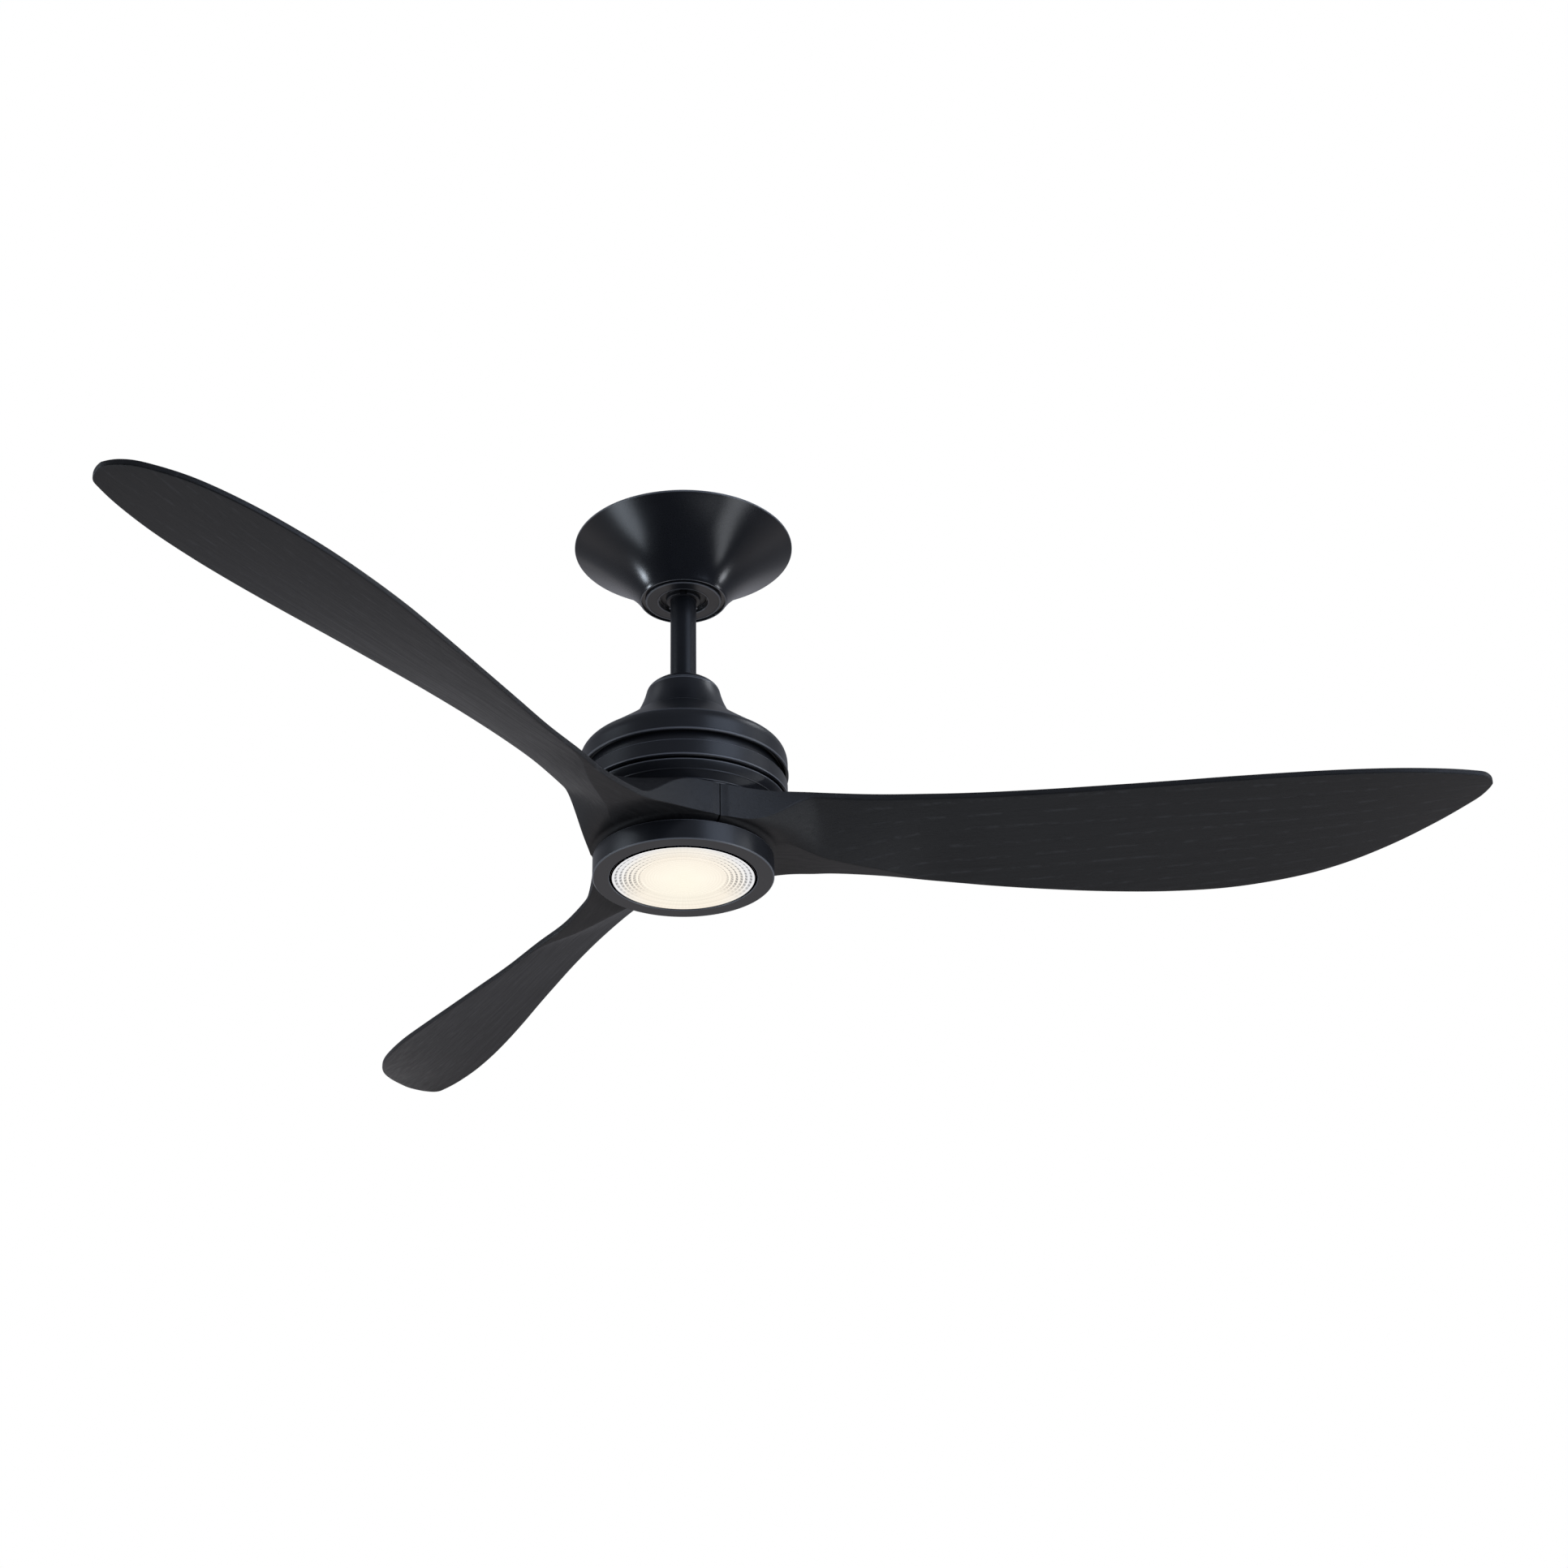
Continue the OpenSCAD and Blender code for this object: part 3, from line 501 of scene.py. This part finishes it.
def smooth(t):
    """0 below t = 0, 1 above t = 1, and an even bend between."""
    c = max(0, min(1, t))
    return c * c * (3 - 2 * c)


def bezier(a, b, c, d, steps):
    """Points along a cubic curve with end points a, d and handles b, c."""
    a, b, c, d = (Vector(p) for p in (a, b, c, d))
    line = []
    for i in range(steps + 1):
        t = i / steps
        u = 1 - t
        line.append(tuple(a * u ** 3 + b * 3 * t * u * u + c * 3 * t * t * u + d * t ** 3))
    return line


def rounded(corners, steps=5):
    """A closed outline. A corner is (radius, height) or (radius, height, fillet)."""
    line = []
    count = len(corners)
    for i, corner in enumerate(corners):
        here = Vector(corner[:2])
        if len(corner) < 3:
            line.append(here)
            continue
        before = Vector(corners[i - 1][:2]) - here
        after = Vector(corners[(i + 1) % count][:2]) - here
        half = before.angle(after) / 2
        reach = min(corner[2] / math.tan(half), 0.48 * before.length, 0.48 * after.length)
        start = here + before.normalized() * reach
        end = here + after.normalized() * reach
        middle = here + (before.normalized() + after.normalized()).normalized() * reach / math.cos(half)
        turn = (start - middle).angle_signed(end - middle)
        for k in range(steps + 1):
            line.append(middle + Matrix.Rotation(-turn * k / steps, 2) @ (start - middle))
    return [(p[0], p[1]) for p in line]


def show(name, mesh, material):
    """An object in the scene that has this mesh and this material."""
    piece = bpy.data.objects.new(name, mesh)
    bpy.context.scene.collection.objects.link(piece)
    mesh.materials.clear()
    mesh.materials.append(material)
    return piece


def finish_mesh(bm, name):
    """Closes a bmesh: outward normals, smooth faces and sharp edges only where it really bends."""
    bmesh.ops.remove_doubles(bm, verts=bm.verts, dist=0.000002)
    bmesh.ops.dissolve_degenerate(bm, edges=bm.edges, dist=0.0000005)
    bmesh.ops.recalc_face_normals(bm, faces=bm.faces)
    for face in bm.faces:
        face.smooth = True
    limit = math.radians(SHARP_FROM)
    for edge in bm.edges:
        edge.smooth = len(edge.link_faces) == 2 and edge.calc_face_angle(0) < limit
    mesh = bpy.data.meshes.new(name)
    bm.to_mesh(mesh)
    bm.free()
    return mesh


def lips(outline):
    """1 at the points of an outline's small outward fillets and chamfers, 0 elsewhere: where the paint gets
    its painted highlight.
    """
    points = [Vector(p) for p in outline]
    around = list(zip(points[-1:] + points[:-1], points, points[1:] + points[:1]))
    area = sum(p.x * q.y - q.x * p.y for _, p, q in around)
    found = []
    for before, here, after in around:
        come, go = here - before, after - here
        short = 0.01 < come.length < LIP_STEP and 0.01 < go.length < LIP_STEP
        bend = math.degrees(-come.angle_signed(go)) * (1 if area > 0 else -1) if short else 0
        found.append(smooth((bend - 3) / 2))
    return found


def lathe(name, outline, material, lift=0.0, turns=256, wave=None):
    """Turns a closed outline of (radius, height) in mm around Z. wave(radius, height, angle)
    adds height."""
    bm = bmesh.new()
    lip = bm.verts.layers.float.new(LIP)
    rings = []
    for (r, h), share in zip(outline, lips(outline)):
        ring = []
        for k in range(turns if r > 0 else 1):
            a = 2 * math.pi * k / turns
            extra = wave(r, h, a) if wave else 0
            x, y = r * MM * math.cos(a), r * MM * math.sin(a)
            ring.append(bm.verts.new((x, y, (lift + h + extra) * MM)))
            ring[-1][lip] = share
        rings.append(ring)
    for one, two in zip(rings, rings[1:] + rings[:1]):
        for k in range(turns):
            n = (k + 1) % turns
            corners = [one[k % len(one)], one[n % len(one)], two[n % len(two)], two[k % len(two)]]
            corners = list(dict.fromkeys(corners))
            if len(corners) > 2:
                bm.faces.new(corners)
    return show(name, finish_mesh(bm, name), material)


def cutter(radius, depth, at, along_x=False):
    """A round drill along Z or X, in mm, centred at a point."""
    bm = bmesh.new()
    bmesh.ops.create_cone(bm, cap_ends=True, segments=HOLE_TURNS, radius1=radius * MM,
                          radius2=radius * MM, depth=depth * MM)
    turn = Matrix.Rotation(math.pi / 2, 4, "Y") if along_x else Matrix.Identity(4)
    bmesh.ops.transform(bm, matrix=Matrix.Translation(Vector(at) * MM) @ turn, verts=bm.verts)
    return solid_from(bm)


def box_cutter(low, high):
    """A square-cornered cutter between two corners, in mm."""
    bm = bmesh.new()
    bmesh.ops.create_cube(bm, size=1)
    size = Vector(high) - Vector(low)
    middle = (Vector(high) + Vector(low)) / 2
    bmesh.ops.transform(bm, matrix=Matrix.Translation(middle * MM) @ Matrix.Diagonal((*(size * MM), 1)),
                        verts=bm.verts)
    return solid_from(bm)


def solid_from(bm):
    """A loose object for cut() to use up."""
    mesh = bpy.data.meshes.new("cutter")
    bm.to_mesh(mesh)
    bm.free()
    piece = bpy.data.objects.new("cutter", mesh)
    bpy.context.scene.collection.objects.link(piece)
    return piece


def cut(piece, cutters):
    """Takes the cutters away from a piece and removes them."""
    for tool in cutters:
        step = piece.modifiers.new("cut", "BOOLEAN")
        step.operation = "DIFFERENCE"
        step.solver = "EXACT"
        step.object = tool
    apply_modifiers(piece)
    for tool in cutters:
        bpy.data.objects.remove(tool)


def apply_modifiers(piece):
    """Replaces a piece's mesh by the one that its modifiers make."""
    bpy.context.view_layer.update()
    made = bpy.data.meshes.new_from_object(piece.evaluated_get(bpy.context.evaluated_depsgraph_get()))
    piece.modifiers.clear()
    material = piece.data.materials[0]
    bm = bmesh.new()
    bm.from_mesh(made)
    piece.data = finish_mesh(bm, piece.name)
    piece.data.materials.append(material)


def stand_in(piece, node):
    """Shows piece in the place of a CAD node, on the same body."""
    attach(piece, CAD[node]["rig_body"])
    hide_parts(node)


# ------------------------------------------------------------------- ceiling group

NECK_R = 37
CANOPY_T = 1.4
FLOOR_Z = 2 - CANOPY_H
FLOOR_HOLE_R = 23
PIN_HOLE_R = 3.05


def canopy_line():
    """The bowl's outside, from its rim on the ceiling down to its neck."""
    return [(CANOPY_R, 0.0)] + bezier((CANOPY_R, -1.5), (CANOPY_R - 12, -10),
                                      (NECK_R + 13, 23 - CANOPY_H), (NECK_R, -CANOPY_H), 56)


def make_canopy(look):
    outer = canopy_line()
    inner = [(r - CANOPY_T, min(0, z + CANOPY_T)) for r, z in reversed(outer) if z > FLOOR_Z + 0.1]
    bottom = [(NECK_R - 0.3, -CANOPY_H, 0.3), (NECK_R - 1.2, -CANOPY_H, 0.3), (NECK_R - 1.2, FLOOR_Z, 0.3),
              (FLOOR_HOLE_R, FLOOR_Z, 0.3), (FLOOR_HOLE_R, FLOOR_Z + 1.5, 0.3)]
    outline = rounded([(CANOPY_R, 0, 0.4)] + outer[1:-1] + bottom + inner[:-1])
    stand_in(lathe("canopy_bowl", outline, look, turns=320), "canopy")


def make_trim_ring(look):
    corners = [(21, 1, 0.2), (22.95, 1, 0.2), (22.95, -1), (23.3, -1.6), (30.8, -1.6), (31, -1), (31, 0),
               (32.4, 0), (32.4, -2.4, 0.7), (31, -2.4), (30.6, -2.15, 0.2), (22.6, -2.15, 0.3),
               (22.2, -2.4, 0.2), (21, -2.4, 0.6)]
    stand_in(lathe("trim_ring_turned", rounded(corners), look, lift=FLOOR_Z), "canopy_trim_ring")


def make_hanging_ball(look):
    ball_r, low, high, boss_r, boss_h, steps = 26, -17, 17, 14.5, 4, 40
    start, end = math.asin(low / ball_r), math.asin(high / ball_r)
    turns = [start + (end - start) * i / steps for i in range(steps + 1)]
    side = [(ball_r * math.cos(a), ball_r * math.sin(a)) for a in turns]
    boss = [(ROD_R + 0.05, low - boss_h, 0.4), (boss_r, low - boss_h, 0.9), (boss_r, low, 0.6)]
    outline = rounded(boss + [(side[0][0], side[0][1], 0.6)] + side[1:-1]
                      + [(side[-1][0], side[-1][1], 0.6), (ROD_R + 0.05, high, 0.5)])
    ball = lathe("hanging_ball", outline, look, lift=BALL_Z, turns=160)
    key_slot = box_cutter((-3, -27, BALL_Z - 22), (3, -13, BALL_Z + 6))
    cut(ball, [cutter(PIN_HOLE_R, 60, (0, 0, BALL_Z), along_x=True), key_slot])
    stand_in(ball, "hanger_ball")


def make_downrod(look):
    low, high = (corner.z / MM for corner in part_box("downrod"))
    bore_r = ROD_R - 2
    corners = [(bore_r, low, 0.3), (ROD_R, low, 0.5), (ROD_R, high, 0.5), (bore_r, high, 0.3)]
    rod = lathe("downrod_tube", rounded(corners), look, turns=96)
    cut(rod, [cutter(PIN_HOLE_R, 40, (0, 0, z), along_x=True) for z in (BALL_Z, PIN_H + LOW)])
    stand_in(rod, "downrod")


# ------------------------------------------------------------------ motor housing

DOME_TOP = 145.5
COVER_TOP = 186
SHEET_T = 1.5
HOUSING_T = 2


def make_cover(look):
    low, high = DOME_TOP, COVER_TOP
    side = [(42, low), (42, low + 0.8)] \
        + bezier((41, low + 2), (36, 156.5), (33, 164), (31, 173), 24) \
        + bezier((30.6, 174), (29.6, 177), (24, 181.5), (14, high), 24)
    inside = [(r - SHEET_T, max(low, h - SHEET_T)) for r, h in reversed(side)]
    mouth = [(11.4, high, 0.4), (11.4, high - SHEET_T, 0.3)]
    outline = rounded([(42, low, 0.3)] + side[1:] + mouth + inside)
    stand_in(lathe("cover_bell", outline, look, lift=LOW), "coupling_cover")


def make_upper_housing(look):
    top, edge_r, edge_h = DOME_TOP, 80.5, 115.5
    shoulder = bezier((HOUSING_R, 103), (HOUSING_R, 109), (85, edge_h - 2), (edge_r, edge_h), 20)
    dome = bezier((edge_r - 0.4, edge_h + 0.3), (72, 122.5), (56, 134), (44, top - 0.6), 40)
    side = shoulder + dome
    inner = [(r - HOUSING_T, h - HOUSING_T) for r, h in reversed(side)]
    corners = [(86.6, 92.5, 0.2), (87.6, 93.1, 0.25), (87.6, 94.2, 0.25), (HOUSING_R, 94.9, 0.2)] + side \
        + [(43.4, top, 0.2), (20.6, top, 0.3), (20.6, top - SHEET_T, 0.3), (41, top - SHEET_T)] \
        + inner + [(HOUSING_R - HOUSING_T, 92.5, 0.2)]
    housing = lathe("upper_housing_shell", rounded(corners), look, lift=LOW, turns=320)
    angles = [math.radians(a) for a in (30, 150, 270)]
    cut(housing, [cutter(2.3, 12, (DOME_SCREW_R * math.cos(a), DOME_SCREW_R * math.sin(a), top - 0.5 + LOW))
                  for a in angles])
    stand_in(housing, "upper_housing")


def make_lower_housing(look):
    corners = [(86.3, 69, 0.2), (87.6, 69.6, 0.25), (87.6, 70.7, 0.25), (86.7, 71.4, 0.2),
               (86.7, 83.2, 0.3), (86, 84, 0.4), (82.1, 84, 0.2), (82.1, 85, 0.2), (81.5, 85.4, 0.2),
               (81.5, 95.5), (85, 98.5), (85, 101), (83, 101), (79.5, 96.5), (79.5, 83), (84, 81),
               (84, 71), (67, 71), (67, 69)]
    stand_in(lathe("lower_housing_shell", rounded(corners), look, lift=LOW, turns=320), "lower_housing")


def make_carrier(look):
    side = bezier((76.8, 53), (79.8, 57.2), (84.2, 62), (86, 66.2), 16)
    under = [(14, HUB_H1), (75.4, HUB_H1, 0.3), (76.2, 53, 0.2), (76.8, 53, 0.2)]
    inside = [(86, 66.2, 0.3), (85.6, 66.8, 0.2), (82, 66.8), (82, 59), (44, 59), (44, 70), (20, 70),
              (20, 54), (14, 54)]
    outline = rounded(under + side[1:-1] + inside)
    stand_in(lathe("carrier_ring", outline, look, lift=LOW), "blade_carrier")


# -------------------------------------------------------------------------- blades

# Stations: distance out, leading edge, trailing edge, bow, height of the trailing edge,
# and the share of the chord that the pitched underside takes before the flat of the hub.
STATIONS = [
    (HUB_R / 2, -0.866 * HUB_R, 0.866 * HUB_R, HUB_R / 2, 22, 0.4), (58, -55, 55.5, 27.5, 21.5, 0.42),
    (78, -46.5, 48.5, 16.5, 21.5, 0.46), (98, -40, 44, 6, 21, 0.52), (120, -34.5, 42, 0, 20, 0.62),
    (160, -27, 45, 0, 17, 0.8), (200, -23, 53.5, 0, 14.5, 0.97), (250, -20.5, 63, 0, 11, 1),
    (300, -20, 73, 0, 9.5, 1), (350, -21, 82, 0, 9, 1), (400, -22.5, 89.5, 0, 10, 1),
    (450, -24.5, 94, 0, 13, 1), (500, -25.5, 92.5, 0, 18.5, 1), (540, -25, 86, 0, 25, 1),
    (580, -22.5, 73, 0, 34, 1), (615, -17.5, 55.5, 0, 43, 1), (640, -11.5, 37, 0, 49, 1),
    (652, -6, 24, 0, 51.5, 1), (658, 8, 8, 0, 53, 1), (652, 24, -6, 0, 51.5, 1)]
TIP_X = STATIONS[-2][0]
STRETCH_FROM = 120
EDGE_T = 5
LEAD_H = 52
BELLY = 3.5
SEAM = 0.8
RIM_RISE = 4
RIM_RISE_FROM = 68
BLEND_FROM, BLEND_TO = 76, 118
HUB_HALF = math.radians(60)
SEAM_TO = 41
ROOT_ROUNDING = 0.3
MORE_ROUNDING = 1.1          # what the edges gain from the hub to the blade
ROOT_RINGS = (34, 42, 50, 58, 65, 68, 70, 72, 74)
ROW_STEPS = 8
RAMP_COLUMNS = 26
FLAT_COLUMNS = 8
EDGE_ARC = 5
BLADE_SCREWS = ((48, -27), (48, 27), (64, 0))
SCREW_HOLE_R = 2.8
SCREW_HEAD_R = 5.5


def station(s):
    """Smooth curve through the stations, at position s counted in stations."""
    i = min(int(s), len(STATIONS) - 3)
    t = s - i
    b, c, d = STATIONS[i], STATIONS[i + 1], STATIONS[i + 2]
    a = STATIONS[i - 1] if i else [2 * p - q for p, q in zip(b, c)]
    return [0.5 * (2 * q + (r - p) * t + (2 * p - 5 * q + 4 * r - w) * t * t
                   + (3 * q - p - 3 * r + w) * t ** 3) for p, q, r, w in zip(a, b, c, d)]


def chord_places(k, chord):
    """Places across the pitched part of a face, then its flat, close together at the crease."""
    soft = min(0.8 / chord, (1 - k) / 3)
    ramp = [k * j / RAMP_COLUMNS for j in range(RAMP_COLUMNS)] + [k - soft, k]
    flat = [k + soft + (1 - k - soft) * j / FLAT_COLUMNS for j in range(FLAT_COLUMNS + 1)]
    return ramp + flat


def higher(a, b, soft=0.3):
    """The higher of two heights, with the crease between them slightly rounded."""
    return (a + b + math.sqrt((a - b) ** 2 + soft * soft)) / 2


def hub_share(x, y):
    """1 on the flat hub, 0 on the pitched blade, and a blend between the two."""
    return 1 - smooth((math.hypot(x, y) - BLEND_FROM) / (BLEND_TO - BLEND_FROM))


def hub_low(r):
    """The hub's lower face, which curves up towards its rim."""
    return HUB_H0 + RIM_RISE * smooth((r - RIM_RISE_FROM) / (HUB_R - RIM_RISE_FROM))


def face_point(st, v, top):
    """A point of the upper or lower face at chord position v, counted from the leading edge."""
    bow = 2 * math.sqrt(1 - (math.sin(HUB_HALF) * (2 * v - 1)) ** 2) - 1
    x, y = st[0] + st[3] * bow, st[1] + (st[2] - st[1]) * v
    x *= 1 + (SWEEP_R / TIP_X - 1) * max(0, x - STRETCH_FROM) / (TIP_X - STRETCH_FROM)
    k = min(st[5], 1)
    along = smooth((st[0] - 90) / 60) * (1 - smooth((st[0] - 200) / 440))
    belly = BELLY * along * math.sin(math.pi * v)
    half = EDGE_T / 2
    if top:
        low, high = st[4] + half, LEAD_H + half
        face = -higher(-high, -(low + (high - low) * (1 - v) / k)) + belly
    else:
        low, high = st[4] - half, LEAD_H - half
        face = higher(low, high - (high - low) * v / k) - 0.4 * belly
    w = hub_share(x, y)
    return Vector((x, y, w * (HUB_H1 if top else hub_low(math.hypot(x, y))) + (1 - w) * face))


def root_point(r, v, top):
    """A point of the hub's third, on the circle of radius r."""
    half = HUB_HALF - math.asin(SEAM / r)
    a = math.asin(math.sin(half) * (2 * v - 1))
    return Vector((r * math.cos(a), r * math.sin(a), HUB_H1 if top else hub_low(r)))


def corner_arc(start, corner, end):
    """A rounded edge: points from start to end that bend around the corner."""
    points = []
    for i in range(1, EDGE_ARC):
        t = i / EDGE_ARC
        points.append(start * (1 - t) ** 2 + corner * 2 * t * (1 - t) + end * t * t)
    return points


def blade_loop(point, k, chord, rounding):
    """One closed loop around the blade: lower face, trailing edge, upper face, leading edge."""
    places = chord_places(k, chord)
    inset = rounding / chord

    def inside(v):
        return inset + v * (1 - 2 * inset)

    low = [point(inside(v), False) for v in places]
    high = [point(inside(1 - v), True) for v in places]
    loop = []
    for face, v, first, second in ((low, 1, False, True), (high, 0, True, False)):
        edge_a, edge_b = point(v, first), point(v, second)
        rise = (edge_b - edge_a).normalized() * min(rounding, (edge_b - edge_a).length / 3)
        other = high[0] if face is low else low[0]
        loop += face + corner_arc(face[-1], edge_a, edge_a + rise) + [edge_a + rise, edge_b - rise] \
            + corner_arc(edge_b - rise, edge_b, other)
    return loop


def blade_mesh():
    """A blade along +X with its height counted from the light's lowest face."""
    loops = []
    for r in ROOT_RINGS:
        loops.append(blade_loop(lambda v, top, r=r: root_point(r, v, top), 0.4, 1.7 * r, ROOT_ROUNDING))
    for i in range((len(STATIONS) - 2) * ROW_STEPS + 1):
        st = station(i / ROW_STEPS)
        if st[0] < SEAM_TO:
            st[1], st[2] = st[1] + SEAM, st[2] - SEAM
        chord = max(st[2] - st[1], 0.02)
        rounding = min(ROOT_ROUNDING + MORE_ROUNDING * smooth((st[0] - 45) / 60), 0.22 * chord)
        crease = min(st[5], 1)
        loops.append(blade_loop(lambda v, top, st=st: face_point(st, v, top), crease, chord, rounding))
    bm = bmesh.new()
    rings = [[bm.verts.new((p + Vector((0, 0, LOW))) * MM) for p in loop] for loop in loops]
    count = len(rings[0])
    for one, two in zip(rings, rings[1:]):
        for k in range(count):
            n = (k + 1) % count
            bm.faces.new((one[k], one[n], two[n], two[k]))
    side = len(chord_places(0.5, 10))
    for end in (rings[0], rings[-1]):
        lower = end[-(EDGE_ARC - 1):] + end[:side] + end[side:side + EDGE_ARC]
        upper = list(reversed(end[side + EDGE_ARC:count - (EDGE_ARC - 1)]))
        for k in range(min(len(lower), len(upper)) - 1):
            corners = list(dict.fromkeys([lower[k], lower[k + 1], upper[k + 1], upper[k]]))
            if len(corners) > 2 and not bm.faces.get(corners):
                bm.faces.new(corners)
    return finish_mesh(bm, "blade")


def keep_places(mesh):
    """Keeps each point's place on a blade along +X, for the grain of the turned blades."""
    kept = mesh.attributes.new(GRAIN, "FLOAT_VECTOR", "POINT")
    for point, vertex in zip(kept.data, mesh.vertices):
        point.vector = vertex.co


def make_blades(look):
    first = show("carved_blade_1", blade_mesh(), look)
    holes = []
    for x, y in BLADE_SCREWS:
        holes.append(cutter(SCREW_HOLE_R, 60, (x, y, HUB_H0 + 16 + LOW)))
        holes.append(cutter(SCREW_HEAD_R, 8, (x, y, 22 + LOW)))
    cut(first, holes)
    keep_places(first.data)
    meshes = [first.data, first.data.copy(), first.data.copy()]
    for i, mesh in enumerate(meshes):
        mesh.transform(Matrix.Rotation(math.radians(FIRST_BLADE_AT + 120 * i), 4, "Z"))
        blade = show("carved_blade_%d" % (i + 1), mesh, look) if i else first
        stand_in(blade, "blade_%d" % (i + 1))


# --------------------------------------------------------------------------- light

LENS_R = 59
LENS_BODY = (0.09, 0.09, 0.095)
# A ring of painted shade by the rim, where the lens meets its groove.
RIM_SHADE_FROM = 58.2
RIM_SHADE_W = 0.4
RING_FROM = 56.8             # the outer radius of the outermost ring
RING_W = 3.85
RINGS = 6
FINE_W = 2.4                 # the spacing of the fine rings
ROW_AT = 0.36                # where a ring's row of teeth lies, as a share of the ring's width
ROW_SHADE = 0.22             # how dark a row stays between its teeth
TEETH = 60
TEETH_FROM, TEETH_FULL = 20, 36
TOOTH_H = 0.08
GLOW_Y = 12                  # the middle of the glow lies behind the lens's axis
GLOW_DEPTH = 0.72            # under 1, the glow is longer from front to back than across
GLOW_REACH = 1.25            # how far out the glow's colours are spread, in lens radii


def make_bezel(look):
    opening = [(60.5, 2.5), (60.5, 0.7, 0.2), (61.2, 0, 0.3)]
    outside = [(LIGHT_R - 0.9, 0, 0.25), (LIGHT_R, 0.9, 0.25), (LIGHT_R, LIGHT_H, 0.7)]
    back = [(70.9, LIGHT_H, 0.3), (70.9, 5.4), (66.4, 5.4), (66.4, 2.5)]
    outline = rounded(opening + outside + back)
    stand_in(lathe("bezel_ring", outline, look, lift=LOW, turns=320), "light_bezel")


def make_lens(look):
    face = []
    for i in range(RINGS):
        outer = RING_FROM - i * RING_W
        face += [(outer, 0.25), (outer - 0.2 * RING_W, 0.2), (outer - 0.38 * RING_W, 0.35),
                 (outer - 0.5 * RING_W, 0.75), (outer - 0.75 * RING_W, 1.1), (outer - 0.95 * RING_W, 0.7)]
    inner_r = RING_FROM - RINGS * RING_W
    steps = 72
    for i in range(steps):
        r = inner_r * (1 - i / steps)
        face.append((r, 0.7 + 0.12 * math.sin(2 * math.pi * r / FINE_W)))
    rim = [(66, 4.5, 0.2), (66, 2.6, 0.2), (59.8, 2.6), (59.8, 1.2, 0.2), (LENS_R, 0.9, 0.2),
           (58.8, 0.1, 0.2), (58, 0.1, 0.2)]
    outline = [(0, 4.5)] + rounded(rim, 3) + face + [(0, 0.7)]

    def teeth(r, h, a):
        inner = smooth((r - TEETH_FROM) / (TEETH_FULL - TEETH_FROM))
        share = inner * (1 - smooth((r - RING_FROM + 0.6) / 0.6)) * (h < 2)
        return TOOTH_H * share * math.sin(TEETH * a)

    stand_in(lathe("prismatic_lens", outline, look, lift=LOW, turns=576, wave=teeth), "lens")


# ----------------------------------------------------------------------- floor, all

FLOOR_HALF = 9               # metres
FLOOR_AT = -3.5              # metres, counted from the ceiling


def make_floor():
    """A pale floor, far enough down for every view from below."""
    look = Finish("pale_floor", (0.8, 0.79, 0.77), 0.7)
    mottle = look.noise(look.place(), 3, 4)
    look.colour(look.ramp(mottle, (0.3, (0.76, 0.755, 0.74)), (0.7, (0.84, 0.835, 0.82))))
    bm = bmesh.new()
    bmesh.ops.create_grid(bm, x_segments=8, y_segments=8, size=FLOOR_HALF)
    bmesh.ops.translate(bm, verts=bm.verts, vec=(0, 0, FLOOR_AT))
    mesh = bpy.data.meshes.new("floor")
    bm.to_mesh(mesh)
    bm.free()
    floor = show("floor", mesh, look.material)
    floor.visible_glossy = False


def dress_cad_nodes(looks):
    """Gives each CAD node the finish of its slot."""
    for name, piece in CAD.items():
        for slot in piece.material_slots:
            slot.material = looks[SLOT_OF[name]]


make_camera()
make_lights()
make_world()
make_floor()
bpy.context.scene.view_settings.view_transform = "Standard"

looks = finishes()
dress_cad_nodes(looks)
make_canopy(satin_paint("black_metal_canopy", PAINT, 0.22))
make_trim_ring(looks["black_metal"])
make_hanging_ball(looks["dark_plastic"])
make_downrod(satin_paint("black_metal_rod", PAINT, 0.36, 0.28))
make_cover(looks["black_metal"])
make_upper_housing(looks["black_metal"])
make_lower_housing(looks["black_metal"])
make_carrier(looks["black_casting"])
make_blades(looks["stained_wood"])
make_bezel(looks["black_metal"])
make_lens(looks["clear_lens"])
